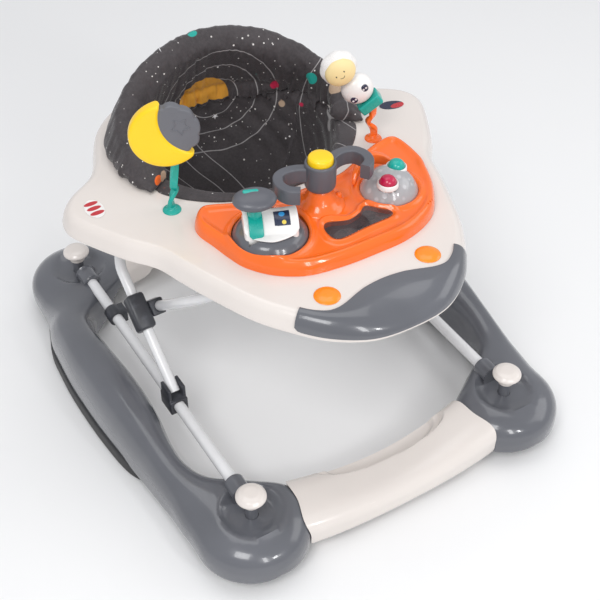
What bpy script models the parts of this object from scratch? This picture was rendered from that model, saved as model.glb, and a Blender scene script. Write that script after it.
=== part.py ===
# Baby walker: folding cross frame, rocker rails with drop-down casters, tray, sling seat and play panel.
# Metres, +Z up. The front is -Y. The origin is on the floor, midway between the four feet.

import math

import bmesh
import bpy
import numpy as np
from mathutils import Matrix, Vector

# Driving dimensions
GAP = 0.0003                # between touching pieces
FOOT_X = 0.2115             # half the foot spacing across
FOOT_Y = 0.288              # half the foot spacing along
FOOT_R = 0.080              # plan radius of a foot
FOOT_BOTTOM = 0.012
FOOT_TOP = 0.078
RAIL_TOP = 0.108            # crown of the arched side rail
RAIL_BOTTOM = 0.008
RECESS_FLOOR = 0.066        # bowl round each knob
POCKET_TOP = 0.058          # caster pocket under each foot
SHELL = 0.0045              # wall of the moulded rails and bars
KNOB_TOP = 0.1125
KNOB_R = 0.021
STEM_R = 0.0088
WHEEL_R = 0.0150
WHEEL_WIDTH = 0.013
WHEEL_OFFSET = 0.010        # caster trail
AXLE_Z = 0.0275

BASE_TUBE_X = 0.210
BASE_TUBE_Z = 0.0765
BASE_TUBE_R = 0.0085
LEG_TUBE_R = 0.0078
TUBE_WALL = 0.0012
PIN_R = 0.0028
PIN_BORE_R = 0.0032
SLIDE_CLEARANCE = 0.0007    # slide block's bore on the base tube
BUMPER_STANDOFF = 0.0024    # bumper's inner face above the nose
BUMPER_WALL = 0.0020

INNER_X = 0.182             # inner leg frame's half width
INNER_PIVOT_Y = 0.148
INNER_ANGLE = math.radians(40)
INNER_LOWER = 0.1485        # pivot to crossing
INNER_LENGTH = 0.4021       # pivot to the top bar
OUTER_X = 0.210
OUTER_PIVOT_Z = 0.099
OUTER_ANGLE = math.radians(38)
TRAY_PIVOT_ARM = 0.2024     # crossing to the tray's pivot, along the outer leg
TRAY_PIVOT_X = 0.165
REAR_BAR_Y = 0.283
REAR_BAR_Z = 0.3345

TRAY_TOP = 0.360
TRAY_EDGE = 0.344
TRAY_RIM = 0.333
TRAY_WALL = 0.003
SEAT_Y = 0.115              # centre of the seat hole
SEAT_R = 0.150
DECK_Z = TRAY_TOP + GAP     # where what rests on the tray starts
PANEL_TOP = 0.378

# Derived pivots
CROSS_Y = INNER_PIVOT_Y - INNER_LOWER * math.cos(INNER_ANGLE)
CROSS_Z = BASE_TUBE_Z + INNER_LOWER * math.sin(INNER_ANGLE)
OUTER_LOWER = (CROSS_Z - OUTER_PIVOT_Z) / math.sin(OUTER_ANGLE)
OUTER_PIVOT_Y = CROSS_Y - OUTER_LOWER * math.cos(OUTER_ANGLE)
TRAY_PIVOT_Y = CROSS_Y + TRAY_PIVOT_ARM * math.cos(OUTER_ANGLE)
TRAY_PIVOT_Z = CROSS_Z + TRAY_PIVOT_ARM * math.sin(OUTER_ANGLE)

# Tray outline, right half, from the nose round to the back: (x, y)
TRAY_HALF = [
    (0.000, -0.326), (0.053, -0.320), (0.098, -0.294), (0.131, -0.257), (0.160, -0.213), (0.187, -0.149),
    (0.202, -0.108), (0.216, -0.068), (0.243, -0.031), (0.267, 0.010), (0.284, 0.045), (0.287, 0.066),
    (0.281, 0.087), (0.262, 0.108), (0.226, 0.133), (0.205, 0.163), (0.188, 0.200), (0.168, 0.236),
    (0.130, 0.270), (0.070, 0.295), (0.000, 0.302),
]
# Side rail in plan: station y, centre x, half width, top z
RAIL_STATIONS = [
    (-0.288, 0.2115, 0.0800, FOOT_TOP), (-0.262, 0.2160, 0.0750, 0.0785), (-0.235, 0.2360, 0.0565, 0.0790),
    (-0.205, 0.2590, 0.0340, 0.0800), (-0.170, 0.2700, 0.0260, 0.0840), (-0.130, 0.2735, 0.0265, 0.0920),
    (-0.070, 0.2740, 0.0335, 0.1030), (0.000, 0.2765, 0.0370, RAIL_TOP), (0.080, 0.2800, 0.0355, 0.1050),
    (0.140, 0.2790, 0.0335, 0.0960), (0.175, 0.2720, 0.0370, 0.0880), (0.205, 0.2520, 0.0480, 0.0820),
    (0.235, 0.2290, 0.0650, 0.0790), (0.262, 0.2150, 0.0770, 0.0785), (0.288, 0.2115, 0.0800, FOOT_TOP),
]
# Play panel outline, from the left rear corner along the back, then round the front
PANEL_OUTLINE = [
    (-0.130, -0.030), (-0.097, -0.043), (-0.060, -0.062), (0.000, -0.068), (0.060, -0.062), (0.105, -0.042),
    (0.137, -0.029), (0.167, -0.024), (0.181, -0.040), (0.181, -0.088), (0.174, -0.112), (0.159, -0.147),
    (0.135, -0.181), (0.106, -0.201), (0.066, -0.213), (0.018, -0.215), (-0.027, -0.214), (-0.069, -0.208),
    (-0.095, -0.196), (-0.117, -0.178), (-0.135, -0.152), (-0.143, -0.126), (-0.149, -0.096),
    (-0.155, -0.066), (-0.149, -0.044),
]
WINDOW_OUTLINE = [
    (-0.014, -0.148), (-0.022, -0.166), (-0.014, -0.183), (0.030, -0.180), (0.066, -0.178), (0.072, -0.169),
    (0.062, -0.157), (0.050, -0.144), (0.036, -0.152), (0.015, -0.157),
]
BOWL_AT = (-0.084, -0.128)
BOWL_R = 0.0490
DRUM_TURN = math.radians(-23)   # the drum's axis, turned from +X
DRUM_Z = 0.384
DRUM_R = 0.026
DRUM_HALF = 0.0345
WHEEL_AT = (0.0, -0.112)
DOME_AT = (0.098, -0.128)
DOME_R = 0.0385
BUTTONS = {"crimson_button": (0.083, -0.145), "teal_button": (0.113, -0.121)}
BUTTON_R = 0.0115
STALK_X = 0.160

PALETTE = {
    "cream": ((0.83, 0.79, 0.74), 0.25), "slate": ((0.10, 0.105, 0.12), 0.22),
    "black": ((0.02, 0.02, 0.02), 0.5),
    "clip": ((0.05, 0.05, 0.06), 0.4), "white_tube": ((0.85, 0.85, 0.86), 0.2), "orange": ((0.95, 0.20, 0.02), 0.2),
    "fabric": ((0.05, 0.045, 0.05), 0.9), "yellow": ((0.95, 0.72, 0.02), 0.3), "teal": ((0.0, 0.42, 0.36), 0.3),
    "crimson": ((0.55, 0.01, 0.08), 0.3), "cloud": ((0.15, 0.15, 0.17), 0.4), "white": ((0.85, 0.84, 0.82), 0.5),
    "dome": ((0.60, 0.60, 0.62), 0.15), "smoke": ((0.10, 0.05, 0.06), 0.1),
    "steel": ((0.6, 0.6, 0.62), 0.3),
}


# ---- scene, materials, modifiers ----

def clear_scene():
    for item in list(bpy.data.objects):
        bpy.data.objects.remove(item)


def make_collection(name):
    group = bpy.data.collections.new(name)
    bpy.context.scene.collection.children.link(group)
    return group


def material(slot):
    found = bpy.data.materials.get(slot)
    if found:
        return found
    colour, roughness = PALETTE[slot]
    made = bpy.data.materials.new(slot)
    made.use_nodes = True
    shader = made.node_tree.nodes["Principled BSDF"]
    shader.inputs["Base Color"].default_value = (*colour, 1.0)
    shader.inputs["Roughness"].default_value = roughness
    shader.inputs["Metallic"].default_value = 1.0 if slot == "steel" else 0.0
    return made


def bake(item):
    """Replace an object by its evaluated mesh, with its place in the mesh."""
    bpy.context.view_layer.update()
    graph = bpy.context.evaluated_depsgraph_get()
    mesh = bpy.data.meshes.new_from_object(item.evaluated_get(graph))
    mesh.transform(item.matrix_world)
    work = bmesh.new()
    work.from_mesh(mesh)
    bmesh.ops.remove_doubles(work, verts=work.verts, dist=1e-6)
    work.to_mesh(mesh)
    work.free()
    made = bpy.data.objects.new(item.name, mesh)
    bpy.data.objects.remove(item)
    PARTS.objects.link(made)
    return made


def from_bmesh(work, name="piece"):
    mesh = bpy.data.meshes.new(name)
    bmesh.ops.recalc_face_normals(work, faces=work.faces)
    work.to_mesh(mesh)
    work.free()
    made = bpy.data.objects.new(name, mesh)
    PARTS.objects.link(made)
    return made


def modify(item, kind, **settings):
    added = item.modifiers.new(kind.title(), kind)
    for key, value in settings.items():
        setattr(added, key, value)
    return added


def boolean(item, other, operation):
    modify(item, "BOOLEAN", operation=operation, object=other, solver="EXACT")
    result = bake(item)
    bpy.data.objects.remove(other)
    return result


def cut(item, *tools):
    for tool in tools:
        item = boolean(item, tool, "DIFFERENCE")
    return item


def join(item, *others):
    for other in others:
        item = boolean(item, other, "UNION")
    return item


def bevel(item, width, segments=2, angle=30):
    modify(item, "BEVEL", width=width, segments=segments, limit_method="ANGLE", angle_limit=math.radians(angle))
    return bake(item)


def moved(item, offset=(0, 0, 0), turn=None):
    matrix = Matrix.Translation(offset)
    if turn is not None:
        matrix = matrix @ turn
    item.data.transform(matrix)
    return item


def mirrored(item):
    work = bmesh.new()
    work.from_mesh(item.data)
    bmesh.ops.triangulate(work, faces=work.faces)
    work.to_mesh(item.data)
    work.free()
    item.data.transform(Matrix.Scale(-1, 4, (1, 0, 0)))
    item.data.flip_normals()
    return item


# ---- shapes ----

def box(low, high):
    work = bmesh.new()
    bmesh.ops.create_cube(work, size=1.0)
    size = [b - a for a, b in zip(low, high)]
    middle = [(a + b) / 2 for a, b in zip(low, high)]
    bmesh.ops.scale(work, vec=size, verts=work.verts)
    bmesh.ops.translate(work, vec=middle, verts=work.verts)
    return from_bmesh(work)


def rod(start, end, radius, sides=20, end_radius=None):
    """A solid cylinder or cone between two points."""
    start = Vector(start)
    end = Vector(end)
    along = end - start
    work = bmesh.new()
    top = radius if end_radius is None else end_radius
    bmesh.ops.create_cone(work, cap_ends=True, segments=sides, radius1=radius, radius2=top, depth=along.length)
    turn = along.to_track_quat("Z", "Y").to_matrix().to_4x4()
    bmesh.ops.transform(work, matrix=Matrix.Translation((start + end) / 2) @ turn, verts=work.verts)
    return from_bmesh(work)


def ball(centre, radii, turn=None, sides=18, rings=10):
    work = bmesh.new()
    bmesh.ops.create_uvsphere(work, u_segments=sides, v_segments=rings, radius=1.0)
    bmesh.ops.scale(work, vec=radii, verts=work.verts)
    item = from_bmesh(work)
    return moved(item, centre, turn)


def turned(profile, at=(0.0, 0.0), steps=28):
    """A solid of revolution about the vertical through at; profile runs top to bottom as (radius, z)."""
    mesh = bpy.data.meshes.new("profile")
    mesh.from_pydata([(r, 0, z) for r, z in profile], [(i, i + 1) for i in range(len(profile) - 1)], [])
    item = bpy.data.objects.new("turned", mesh)
    PARTS.objects.link(item)
    modify(item, "SCREW", steps=steps, render_steps=steps, use_merge_vertices=True, merge_threshold=0.00001)
    item = bake(item)
    return moved(item, (at[0], at[1], 0))


def solid_tube(points, radius, sides=8):
    """A closed rod along a path."""
    return bake(path_curve(points, radius, sides, True))


def path_curve(points, radius, sides, caps):
    curve = bpy.data.curves.new("path", "CURVE")
    curve.dimensions = "3D"
    line = curve.splines.new("POLY")
    line.points.add(len(points) - 1)
    for knot, place in zip(line.points, points):
        knot.co = (*place, 1.0)
    curve.bevel_depth = radius
    curve.bevel_resolution = sides // 2 - 2
    curve.use_fill_caps = caps
    item = bpy.data.objects.new("path", curve)
    PARTS.objects.link(item)
    return item


def hollow_tube(points, radius, sides=8):
    """A thin-walled tube along a path, open at both ends."""
    item = bake(path_curve(points, radius, sides, False))
    modify(item, "SOLIDIFY", thickness=TUBE_WALL, offset=-1.0, use_even_offset=True)
    return bake(item)


def plate(outline, low, high):
    """A flat outline, extruded from height low to height high."""
    curve = bpy.data.curves.new("outline", "CURVE")
    curve.dimensions = "2D"
    curve.fill_mode = "BOTH"
    curve.extrude = (high - low) / 2
    line = curve.splines.new("POLY")
    line.points.add(len(outline) - 1)
    for knot, place in zip(line.points, outline):
        knot.co = (place[0], place[1], 0.0, 1.0)
    line.use_cyclic_u = True
    item = bpy.data.objects.new("outline", curve)
    PARTS.objects.link(item)
    item.location.z = (low + high) / 2
    return bake(item)


def loft(rings):
    """Equal rings of points joined into a closed skin, with flat ends."""
    work = bmesh.new()
    rows = [[work.verts.new(p) for p in ring] for ring in rings]
    count = len(rows[0])
    for a, b in zip(rows, rows[1:]):
        for i in range(count):
            work.faces.new((a[i], a[(i + 1) % count], b[(i + 1) % count], b[i]))
    work.faces.new(rows[0])
    work.faces.new(list(reversed(rows[-1])))
    return from_bmesh(work)


def smooth_loop(points, per_span=4, closed=True):
    """Catmull-Rom curve through the points."""
    pts = np.array(points, float)
    n = len(pts)
    out = []
    for i in range(n if closed else n - 1):
        near = [(i + k) % n if closed else min(max(i + k, 0), n - 1) for k in (-1, 0, 1, 2)]
        p0, p1, p2, p3 = pts[near]
        for t in np.arange(per_span) / per_span:
            a = 2 * p1 + (p2 - p0) * t
            b = (2 * p0 - 5 * p1 + 4 * p2 - p3) * t ** 2
            c = (3 * p1 - p0 - 3 * p2 + p3) * t ** 3
            out.append((a + b + c) / 2)
    if not closed:
        out.append(pts[-1])
    return np.array(out)


def circle(centre, radius, count=32):
    turn = np.linspace(0, 2 * math.pi, count, endpoint=False)
    return np.stack([centre[0] + radius * np.cos(turn), centre[1] + radius * np.sin(turn)], 1)


def pivot(name, place):
    empty = bpy.data.objects.get(name)
    if empty is None:
        empty = bpy.data.objects.new(name, None)
        empty.empty_display_size = 0.03
        empty.location = place
        PARTS.objects.link(empty)
        bpy.context.view_layer.update()
    return empty


def part(item, name, slot, joint=None, flat=35):
    """Name a finished piece, give it its material and hang it on its joint's empty."""
    item.name = name
    item.data.name = name
    item.data.materials.clear()
    item.data.materials.append(material(slot))
    item.data.shade_smooth()
    item.data.set_sharp_from_angle(angle=math.radians(flat))
    if joint:
        holder = pivot(*joint)
        item.parent = holder
        item.matrix_parent_inverse = holder.matrix_world.inverted()
    return item


# ---- base ----

def signed_power(value, power):
    return np.sign(value) * np.abs(value) ** power


def rail_section(y, centre, half, top, bottom):
    """Domed above the waist, boxy below it."""
    turn = np.linspace(0, 2 * math.pi, 14, endpoint=False)
    waist = bottom + 0.38 * (top - bottom)
    upper = np.sin(turn) >= 0
    power = np.where(upper, 2 / 2.5, 2 / 4.5)
    x = centre + half * signed_power(np.cos(turn), power)
    z = waist + np.where(upper, top - waist, waist - bottom) * signed_power(np.sin(turn), power)
    return [(a, y, c) for a, c in zip(x, z)]


def rail_stations():
    """Station rows from the front tip to the rear tip: y, centre, half width, top, bottom."""
    body = RAIL_STATIONS
    rows = []
    tips = np.radians([85, 72, 54, 36, 18])
    for sign, order in ((-1, tips), (1, tips[::-1])):
        ends = []
        for lean in order:
            shrink = math.cos(lean)
            middle = FOOT_BOTTOM + 0.38 * (FOOT_TOP - FOOT_BOTTOM)
            top = middle + (FOOT_TOP - middle) * shrink ** 0.8
            bottom = middle - (middle - FOOT_BOTTOM) * shrink ** 0.45
            ends.append((sign * (FOOT_Y + FOOT_R * math.sin(lean)), FOOT_X, FOOT_R * shrink, top, bottom))
        if sign < 0:
            rows += ends
            for y, centre, half, top in body:
                ease = max(0.0, 1 - abs(y) / FOOT_Y)
                bottom = FOOT_BOTTOM + (RAIL_BOTTOM - FOOT_BOTTOM) * min(1, 3 * ease)
                rows.append((y, centre, half, top, bottom))
        else:
            rows += ends
    return rows


def foot_envelope(extra):
    """A foot's dome as a solid of revolution, grown by extra: it trims the cross bars."""
    rise = np.radians(np.linspace(90, 0, 9))
    middle = FOOT_BOTTOM + 0.38 * (FOOT_TOP - FOOT_BOTTOM)
    wide = FOOT_R + extra
    tall = FOOT_TOP - middle + extra
    upper = [(wide * math.cos(a) ** 0.8, middle + tall * math.sin(a) ** 0.8) for a in rise]
    below = FOOT_BOTTOM - 0.02
    return [(0.0, upper[0][1])] + upper[1:] + [(wide, below), (0.0, below)]


def rocker_path():
    """Centre line of the rocker shoe: it follows the rail's outer edge and lifts at its ends."""
    y = np.linspace(-0.118, 0.250, 24)
    rows = np.array(rail_stations())
    outer = np.interp(y, rows[:, 0], rows[:, 1] + rows[:, 2])
    flat = np.maximum(0, np.abs(y - 0.062) - 0.150)
    lift = flat ** 2 / 0.16
    return outer - 0.012, y, lift


def rocker_shoe(grow):
    """The shoe, or the slot that it sits in when grown: a bar with a rounded outer side."""
    x, y, lift = rocker_path()
    rings = []
    for i in range(len(y)):
        end = min(i, len(y) - 1 - i) / 3
        size = math.sqrt(1 - (1 - min(1, end)) ** 2) * 0.85 + 0.15
        half = 0.0145 * size + grow
        low = lift[i] - (0.02 if grow else 0.0)
        high = 0.012 + 0.020 * size + grow
        edge = 0.004 * size
        rings.append([
            (x[i] - half, y[i], low), (x[i] + half - edge, y[i], low), (x[i] + half, y[i], low + edge),
            (x[i] + half + edge / 2, y[i], (low + high) / 2), (x[i] + half, y[i], high - edge),
            (x[i] + half - edge, y[i], high), (x[i] - half, y[i], high),
        ])
    rings[0] = [(p[0], p[1] - 3 * grow, p[2]) for p in rings[0]]
    rings[-1] = [(p[0], p[1] + 3 * grow, p[2]) for p in rings[-1]]
    return loft(rings)


def rail_hollow():
    """Room inside the rail's arch, above the rocker's slot."""
    rings = []
    for y, centre, half, top in RAIL_STATIONS[3:-3]:
        half -= SHELL
        turn = np.linspace(0, math.pi, 7)
        x = centre + half * signed_power(np.cos(turn), 0.8)
        z = 0.0412 + (top - SHELL - 0.0412) * signed_power(np.sin(turn), 0.8)
        rings.append([(a, y, c) for a, c in zip(x, z)])
    return loft(rings)


def rail_slot():
    """Opening in the rail's underside, inboard of the rocker's slot."""
    rings = []
    for y, centre, half, top in RAIL_STATIONS[4:-4]:
        inner = centre - half + 0.007
        outer = centre + half - 0.033
        if outer - inner > 0.006:
            rings.append([(inner, y, -0.02), (outer, y, -0.02), (outer, y, 0.045), (inner, y, 0.045)])
    return loft(rings)


def foot_hollow():
    wide = FOOT_R - SHELL
    return [(0.0, POCKET_TOP), (0.055, POCKET_TOP), (0.067, 0.052), (wide, 0.036), (wide, -0.02), (0.0, -0.02)]


def make_rail(name, side):
    rail = loft([rail_section(*row) for row in rail_stations()])
    for end in (-1, 1):
        deep, mouth = ((BASE_TUBE_X, end * y, BASE_TUBE_Z) for y in (0.262, 0.222))
        socket = rod(deep, mouth, 0.0145, 16)
        rail = join(rail, socket)
    for end in (-1, 1):
        at = (FOOT_X, end * FOOT_Y)
        bowl = [(0.0, 0.12), (0.046, 0.12), (0.043, FOOT_TOP - 0.003), (0.034, RECESS_FLOOR + 0.001),
                (0.030, RECESS_FLOOR), (0.0, RECESS_FLOOR)]
        rail = cut(rail, turned(bowl, at, 20))
        rail = cut(rail, turned(foot_hollow(), at, 20))
        rail = cut(rail, rod((*at, 0.04), (*at, 0.09), STEM_R + 0.0004, 16))
        bore_end = (BASE_TUBE_X, end * 0.2470, BASE_TUBE_Z)
        bore = rod(bore_end, (BASE_TUBE_X, end * 0.15, BASE_TUBE_Z), BASE_TUBE_R + GAP, 12)
        rail = cut(rail, bore)
    rail = cut(rail, rocker_shoe(0.0006), rail_hollow(), rail_slot())
    if side < 0:
        rail = mirrored(rail)
    return part(rail, name, "slate")


def make_rocker(name, side):
    shoe = rocker_shoe(0.0)
    if side < 0:
        shoe = mirrored(shoe)
    return part(shoe, name, "black")


def crossbar_section(x, y_low, y_high, z_low, z_high):
    turn = np.linspace(0, 2 * math.pi, 16, endpoint=False)
    y = (y_low + y_high) / 2 + (y_high - y_low) / 2 * signed_power(np.cos(turn), 2 / 3.0)
    z = (z_low + z_high) / 2 + (z_high - z_low) / 2 * signed_power(np.sin(turn), 2 / 3.0)
    return [(x, a, b) for a, b in zip(y, z)]


def make_crossbar(name, end):
    """A waisted bar that bows outwards a little and laps both feet."""
    rings = []
    for x in np.linspace(-0.185, 0.185, 15):
        t = abs(x) / 0.185
        bow = 0.021 * (1 - t * t)
        waist = 0.006 * math.cos(math.pi * t)
        near = 0.247 + bow + waist / 2
        far = 0.336 + bow - waist / 2
        top = 0.064 - 0.004 * math.cos(math.pi * t)
        low, high = sorted((end * near, end * far))
        rings.append(crossbar_section(x, low, high, 0.0105, top))
    bar = loft(rings)
    for side in (-1, 1):
        bar = cut(bar, turned(foot_envelope(0.0012), (side * FOOT_X, end * FOOT_Y), 32))
    rings = []
    for x in np.linspace(-0.120, 0.120, 7):
        bow = 0.021 * (1 - (x / 0.185) ** 2)
        low, high = sorted((end * (0.256 + bow), end * (0.328 + bow)))
        rings.append([(x, low, -0.02), (x, high, -0.02), (x, high, 0.040), (x, low, 0.040)])
    bar = cut(bar, loft(rings))
    if end < 0:
        bar = cut(bar, ball((0.008, end * 0.262, 0.078), (0.118, 0.040, 0.030)))
    return part(bar, name, "cream")


def make_base_tube(name, side):
    x = side * BASE_TUBE_X
    ends = [(x, -0.2465, BASE_TUBE_Z), (x, 0.2465, BASE_TUBE_Z)]
    return part(hollow_tube(ends, BASE_TUBE_R), name, "white_tube")


def make_ring_clip(name, side):
    """Sleeve fixed on the base tube, with the cheek and pin that the inner leg frame turns on."""
    x = side * BASE_TUBE_X
    y = INNER_PIVOT_Y
    z = BASE_TUBE_Z
    sleeve = rod((x, y - 0.011, z), (x, y + 0.011, z), 0.0128, 24)
    low, high = sorted((x, side * 0.1925))
    cheek = box((low, y - 0.011, z - 0.0115), (high, y + 0.011, z + 0.0095))
    pin = rod((side * 0.196, y, z), (side * (INNER_X - 0.0070), y, z), PIN_R, 12)
    clip = join(sleeve, cheek, pin)
    clip = cut(clip, rod((x, y - 0.02, z), (x, y + 0.02, z), BASE_TUBE_R + GAP, 24))
    return part(clip, name, "clip")


# ---- casters ----

def make_knob(name, at, joint):
    profile = [
        (0.0, KNOB_TOP), (0.010, KNOB_TOP - 0.0005), (0.017, KNOB_TOP - 0.0025), (KNOB_R, KNOB_TOP - 0.0075),
        (0.0200, KNOB_TOP - 0.0110), (0.0130, KNOB_TOP - 0.0135), (0.0115, 0.0945), (STEM_R, 0.0930),
        (STEM_R, 0.0540), (0.0125, 0.0535), (0.0125, 0.0505), (0.0042, 0.0503), (0.0042, 0.0440),
        (0.0, 0.0440),
    ]
    return part(turned(profile, at, 14), name, "cream", joint)


def make_fork(name, at, joint):
    x, y = at
    crown = box((x - 0.010, y - 0.0115, 0.0448), (x + 0.017, y + 0.0115, 0.0498))
    cheeks = []
    for side in (-1, 1):
        inner = WHEEL_WIDTH / 2 + 0.0008
        low, high = sorted((y + side * inner, y + side * 0.0115))
        cheeks.append(box((x + 0.003, low, AXLE_Z - 0.006), (x + 0.017, high, 0.0460)))
    fork = join(crown, *cheeks)
    fork = cut(fork, rod((x, y, 0.03), (x, y, 0.06), 0.0046, 16))
    axle_x = x + WHEEL_OFFSET
    fork = cut(fork, rod((axle_x, y - 0.02, AXLE_Z), (axle_x, y + 0.02, AXLE_Z), 0.0023, 12))
    return part(fork, name, "clip", joint)


def make_wheel(name, at, joint):
    x, y = at
    half = WHEEL_WIDTH / 2
    profile = [
        (0.0025, half), (0.0155, half), (WHEEL_R, half - 0.002), (WHEEL_R, -half + 0.002), (0.0155, -half),
        (0.0025, -half), (0.0025, half),
    ]
    wheel = turned(profile, (0, 0), 16)
    wheel = moved(wheel, (x + WHEEL_OFFSET, y, AXLE_Z), Matrix.Rotation(math.radians(90), 4, "X"))
    return part(wheel, name, "black", joint)


def make_axle(name, at, joint):
    x = at[0] + WHEEL_OFFSET
    axle = rod((x, at[1] - 0.0115, AXLE_Z), (x, at[1] + 0.0115, AXLE_Z), 0.0020, 12)
    return part(axle, name, "steel", joint)


# ---- cross frame ----

def inner_point(along, x):
    return (x, INNER_PIVOT_Y - along * math.cos(INNER_ANGLE), BASE_TUBE_Z + along * math.sin(INNER_ANGLE))


def inner_path():
    """Straight legs to the start of the bow, then half a superellipse across the top."""
    start = 0.19
    half = [(-0.008, INNER_X), (0.06, INNER_X), (0.12, INNER_X)]
    for a in np.radians(np.linspace(0, 90, 8)):
        along = start + (INNER_LENGTH - start) * math.sin(a) ** (2 / 2.6)
        half.append((along, INNER_X * math.cos(a) ** (2 / 2.6)))
    right = [inner_point(s, x) for s, x in half]
    left = [inner_point(s, -x) for s, x in reversed(half[:-1])]
    return right + left


def outer_path():
    """Straight lower legs, a joggle in to the tray's pivots, then a bow behind the seat."""
    rise = math.tan(OUTER_ANGLE)
    bow_start = 0.215
    half = []
    for y in [OUTER_PIVOT_Y - 0.0047, -0.02, CROSS_Y, 0.075]:
        half.append((OUTER_X, y, CROSS_Z + (y - CROSS_Y) * rise))
    for t in np.linspace(0, 1, 5):
        y = 0.085 + 0.080 * t
        ease = t * t * (3 - 2 * t)
        half.append((OUTER_X + (TRAY_PIVOT_X - OUTER_X) * ease, y, CROSS_Z + (y - CROSS_Y) * rise))
    base = CROSS_Z + (bow_start - CROSS_Y) * rise
    for a in np.radians(np.linspace(0, 90, 8)):
        v = math.sin(a) ** (2 / 1.8)
        z = base + (REAR_BAR_Z - base) * (1 - (1 - v) ** 2.5)
        half.append((TRAY_PIVOT_X * math.cos(a) ** (2 / 1.8), bow_start + (REAR_BAR_Y - bow_start) * v, z))
    return half + [(-x, y, z) for x, y, z in reversed(half[:-1])]


FOLD = ("pivot_fold", (0.0, INNER_PIVOT_Y, BASE_TUBE_Z))
CROSSING = ("pivot_crossing", (0.0, CROSS_Y, CROSS_Z))


def make_inner_frame():
    frame = hollow_tube(inner_path(), LEG_TUBE_R)
    for along in (0.0, INNER_LOWER):
        centre = inner_point(along, 0.0)
        for side in (-1, 1):
            bore = rod((side * 0.165, *centre[1:]), (side * 0.20, *centre[1:]), PIN_BORE_R, 12)
            frame = cut(frame, bore)
    return part(frame, "inner_leg_frame", "white_tube", FOLD)


def make_outer_frame():
    frame = hollow_tube(outer_path(), LEG_TUBE_R)
    for side in (-1, 1):
        low = (OUTER_PIVOT_Y, OUTER_PIVOT_Z)
        high = (TRAY_PIVOT_Y, TRAY_PIVOT_Z)
        frame = cut(frame, rod((side * 0.195, *low), (side * 0.225, *low), PIN_BORE_R, 12))
        frame = cut(frame, rod((side * 0.150, *high), (side * 0.182, *high), PIN_BORE_R, 12))
    return part(frame, "outer_leg_frame", "white_tube", CROSSING)


def make_saddle(name, side):
    """Channel round the inner leg at the crossing; open on its inboard side."""
    block = box((0.1755, -0.013, -0.0118), (0.1970, 0.013, 0.0118))
    block = bevel(block, 0.002, 1)
    block = cut(block, rod((INNER_X, -0.03, 0), (INNER_X, 0.03, 0), LEG_TUBE_R + GAP, 16))
    block = cut(block, box((0.16, -0.03, -0.0065), (INNER_X, 0.03, 0.0065)))
    block = cut(block, rod((0.18, 0, 0), (0.21, 0, 0), PIN_BORE_R, 12))
    block = moved(block, (0, CROSS_Y, CROSS_Z), Matrix.Rotation(-INNER_ANGLE, 4, "X"))
    if side < 0:
        block = mirrored(block)
    return part(block, name, "clip", FOLD)


def make_clamp(name, side):
    """Sleeve round the outer leg at the crossing, with the pin that holds both legs together."""
    block = box((0.1975, -0.027, -0.0145), (0.2240, 0.027, 0.0145))
    block = bevel(block, 0.0045, 2)
    pin = rod((0.2000, 0, 0), (0.1755, 0, 0), PIN_R, 12)
    block = join(block, pin)
    block = cut(block, rod((OUTER_X, -0.04, 0), (OUTER_X, 0.04, 0), LEG_TUBE_R + GAP, 16))
    block = moved(block, (0, CROSS_Y, CROSS_Z), Matrix.Rotation(OUTER_ANGLE, 4, "X"))
    if side < 0:
        block = mirrored(block)
    return part(block, name, "clip", CROSSING)


def make_slide_block(name, side):
    """Collar that slides on the base tube, with the two cheeks and pin of the outer leg's foot."""
    y = OUTER_PIVOT_Y
    collar = box((0.1965, y - 0.017, BASE_TUBE_Z - 0.0125), (0.2235, y + 0.017, 0.0875))
    block = collar
    for low, high in ((0.1965, 0.2012), (0.2188, 0.2235)):
        block = join(block, box((low, y - 0.013, 0.080), (high, y + 0.013, OUTER_PIVOT_Z + 0.0085)))
    block = join(block, rod((0.1990, y, OUTER_PIVOT_Z), (0.2210, y, OUTER_PIVOT_Z), PIN_R, 12))
    bore_start = (BASE_TUBE_X, y - 0.03, BASE_TUBE_Z)
    bore_end = (BASE_TUBE_X, y + 0.03, BASE_TUBE_Z)
    block = cut(block, rod(bore_start, bore_end, BASE_TUBE_R + SLIDE_CLEARANCE, 20))
    if side < 0:
        block = mirrored(block)
    return part(block, name, "clip", ("pivot_slide_blocks", (0.0, OUTER_PIVOT_Y, OUTER_PIVOT_Z)))


# ---- tray ----

TRAY = ("pivot_tray", (0.0, TRAY_PIVOT_Y, TRAY_PIVOT_Z))


def tray_loop():
    half = smooth_loop(TRAY_HALF, 2, closed=False)
    left = half[-2:0:-1] * (-1, 1)
    return np.concatenate([half, left])


def inset(loop, distance):
    ahead = np.roll(loop, -1, 0) - np.roll(loop, 1, 0)
    normal = np.stack([-ahead[:, 1], ahead[:, 0]], 1)
    normal /= np.linalg.norm(normal, axis=1)[:, None]
    return loop + normal * np.reshape(distance, (-1, 1))


def tray_rings():
    """Bottom rim, edge and deck outline. The nose slopes: its deck edge is set further back."""
    loop = tray_loop()
    nose = np.exp(-(loop[:, 0] / 0.062) ** 2) * (loop[:, 1] < -0.2)
    deck = inset(loop, 0.012 + 0.050 * nose)
    edge = inset(loop, 0.001)
    return [(loop, TRAY_RIM), (edge, TRAY_EDGE), (deck, TRAY_TOP)]


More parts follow.
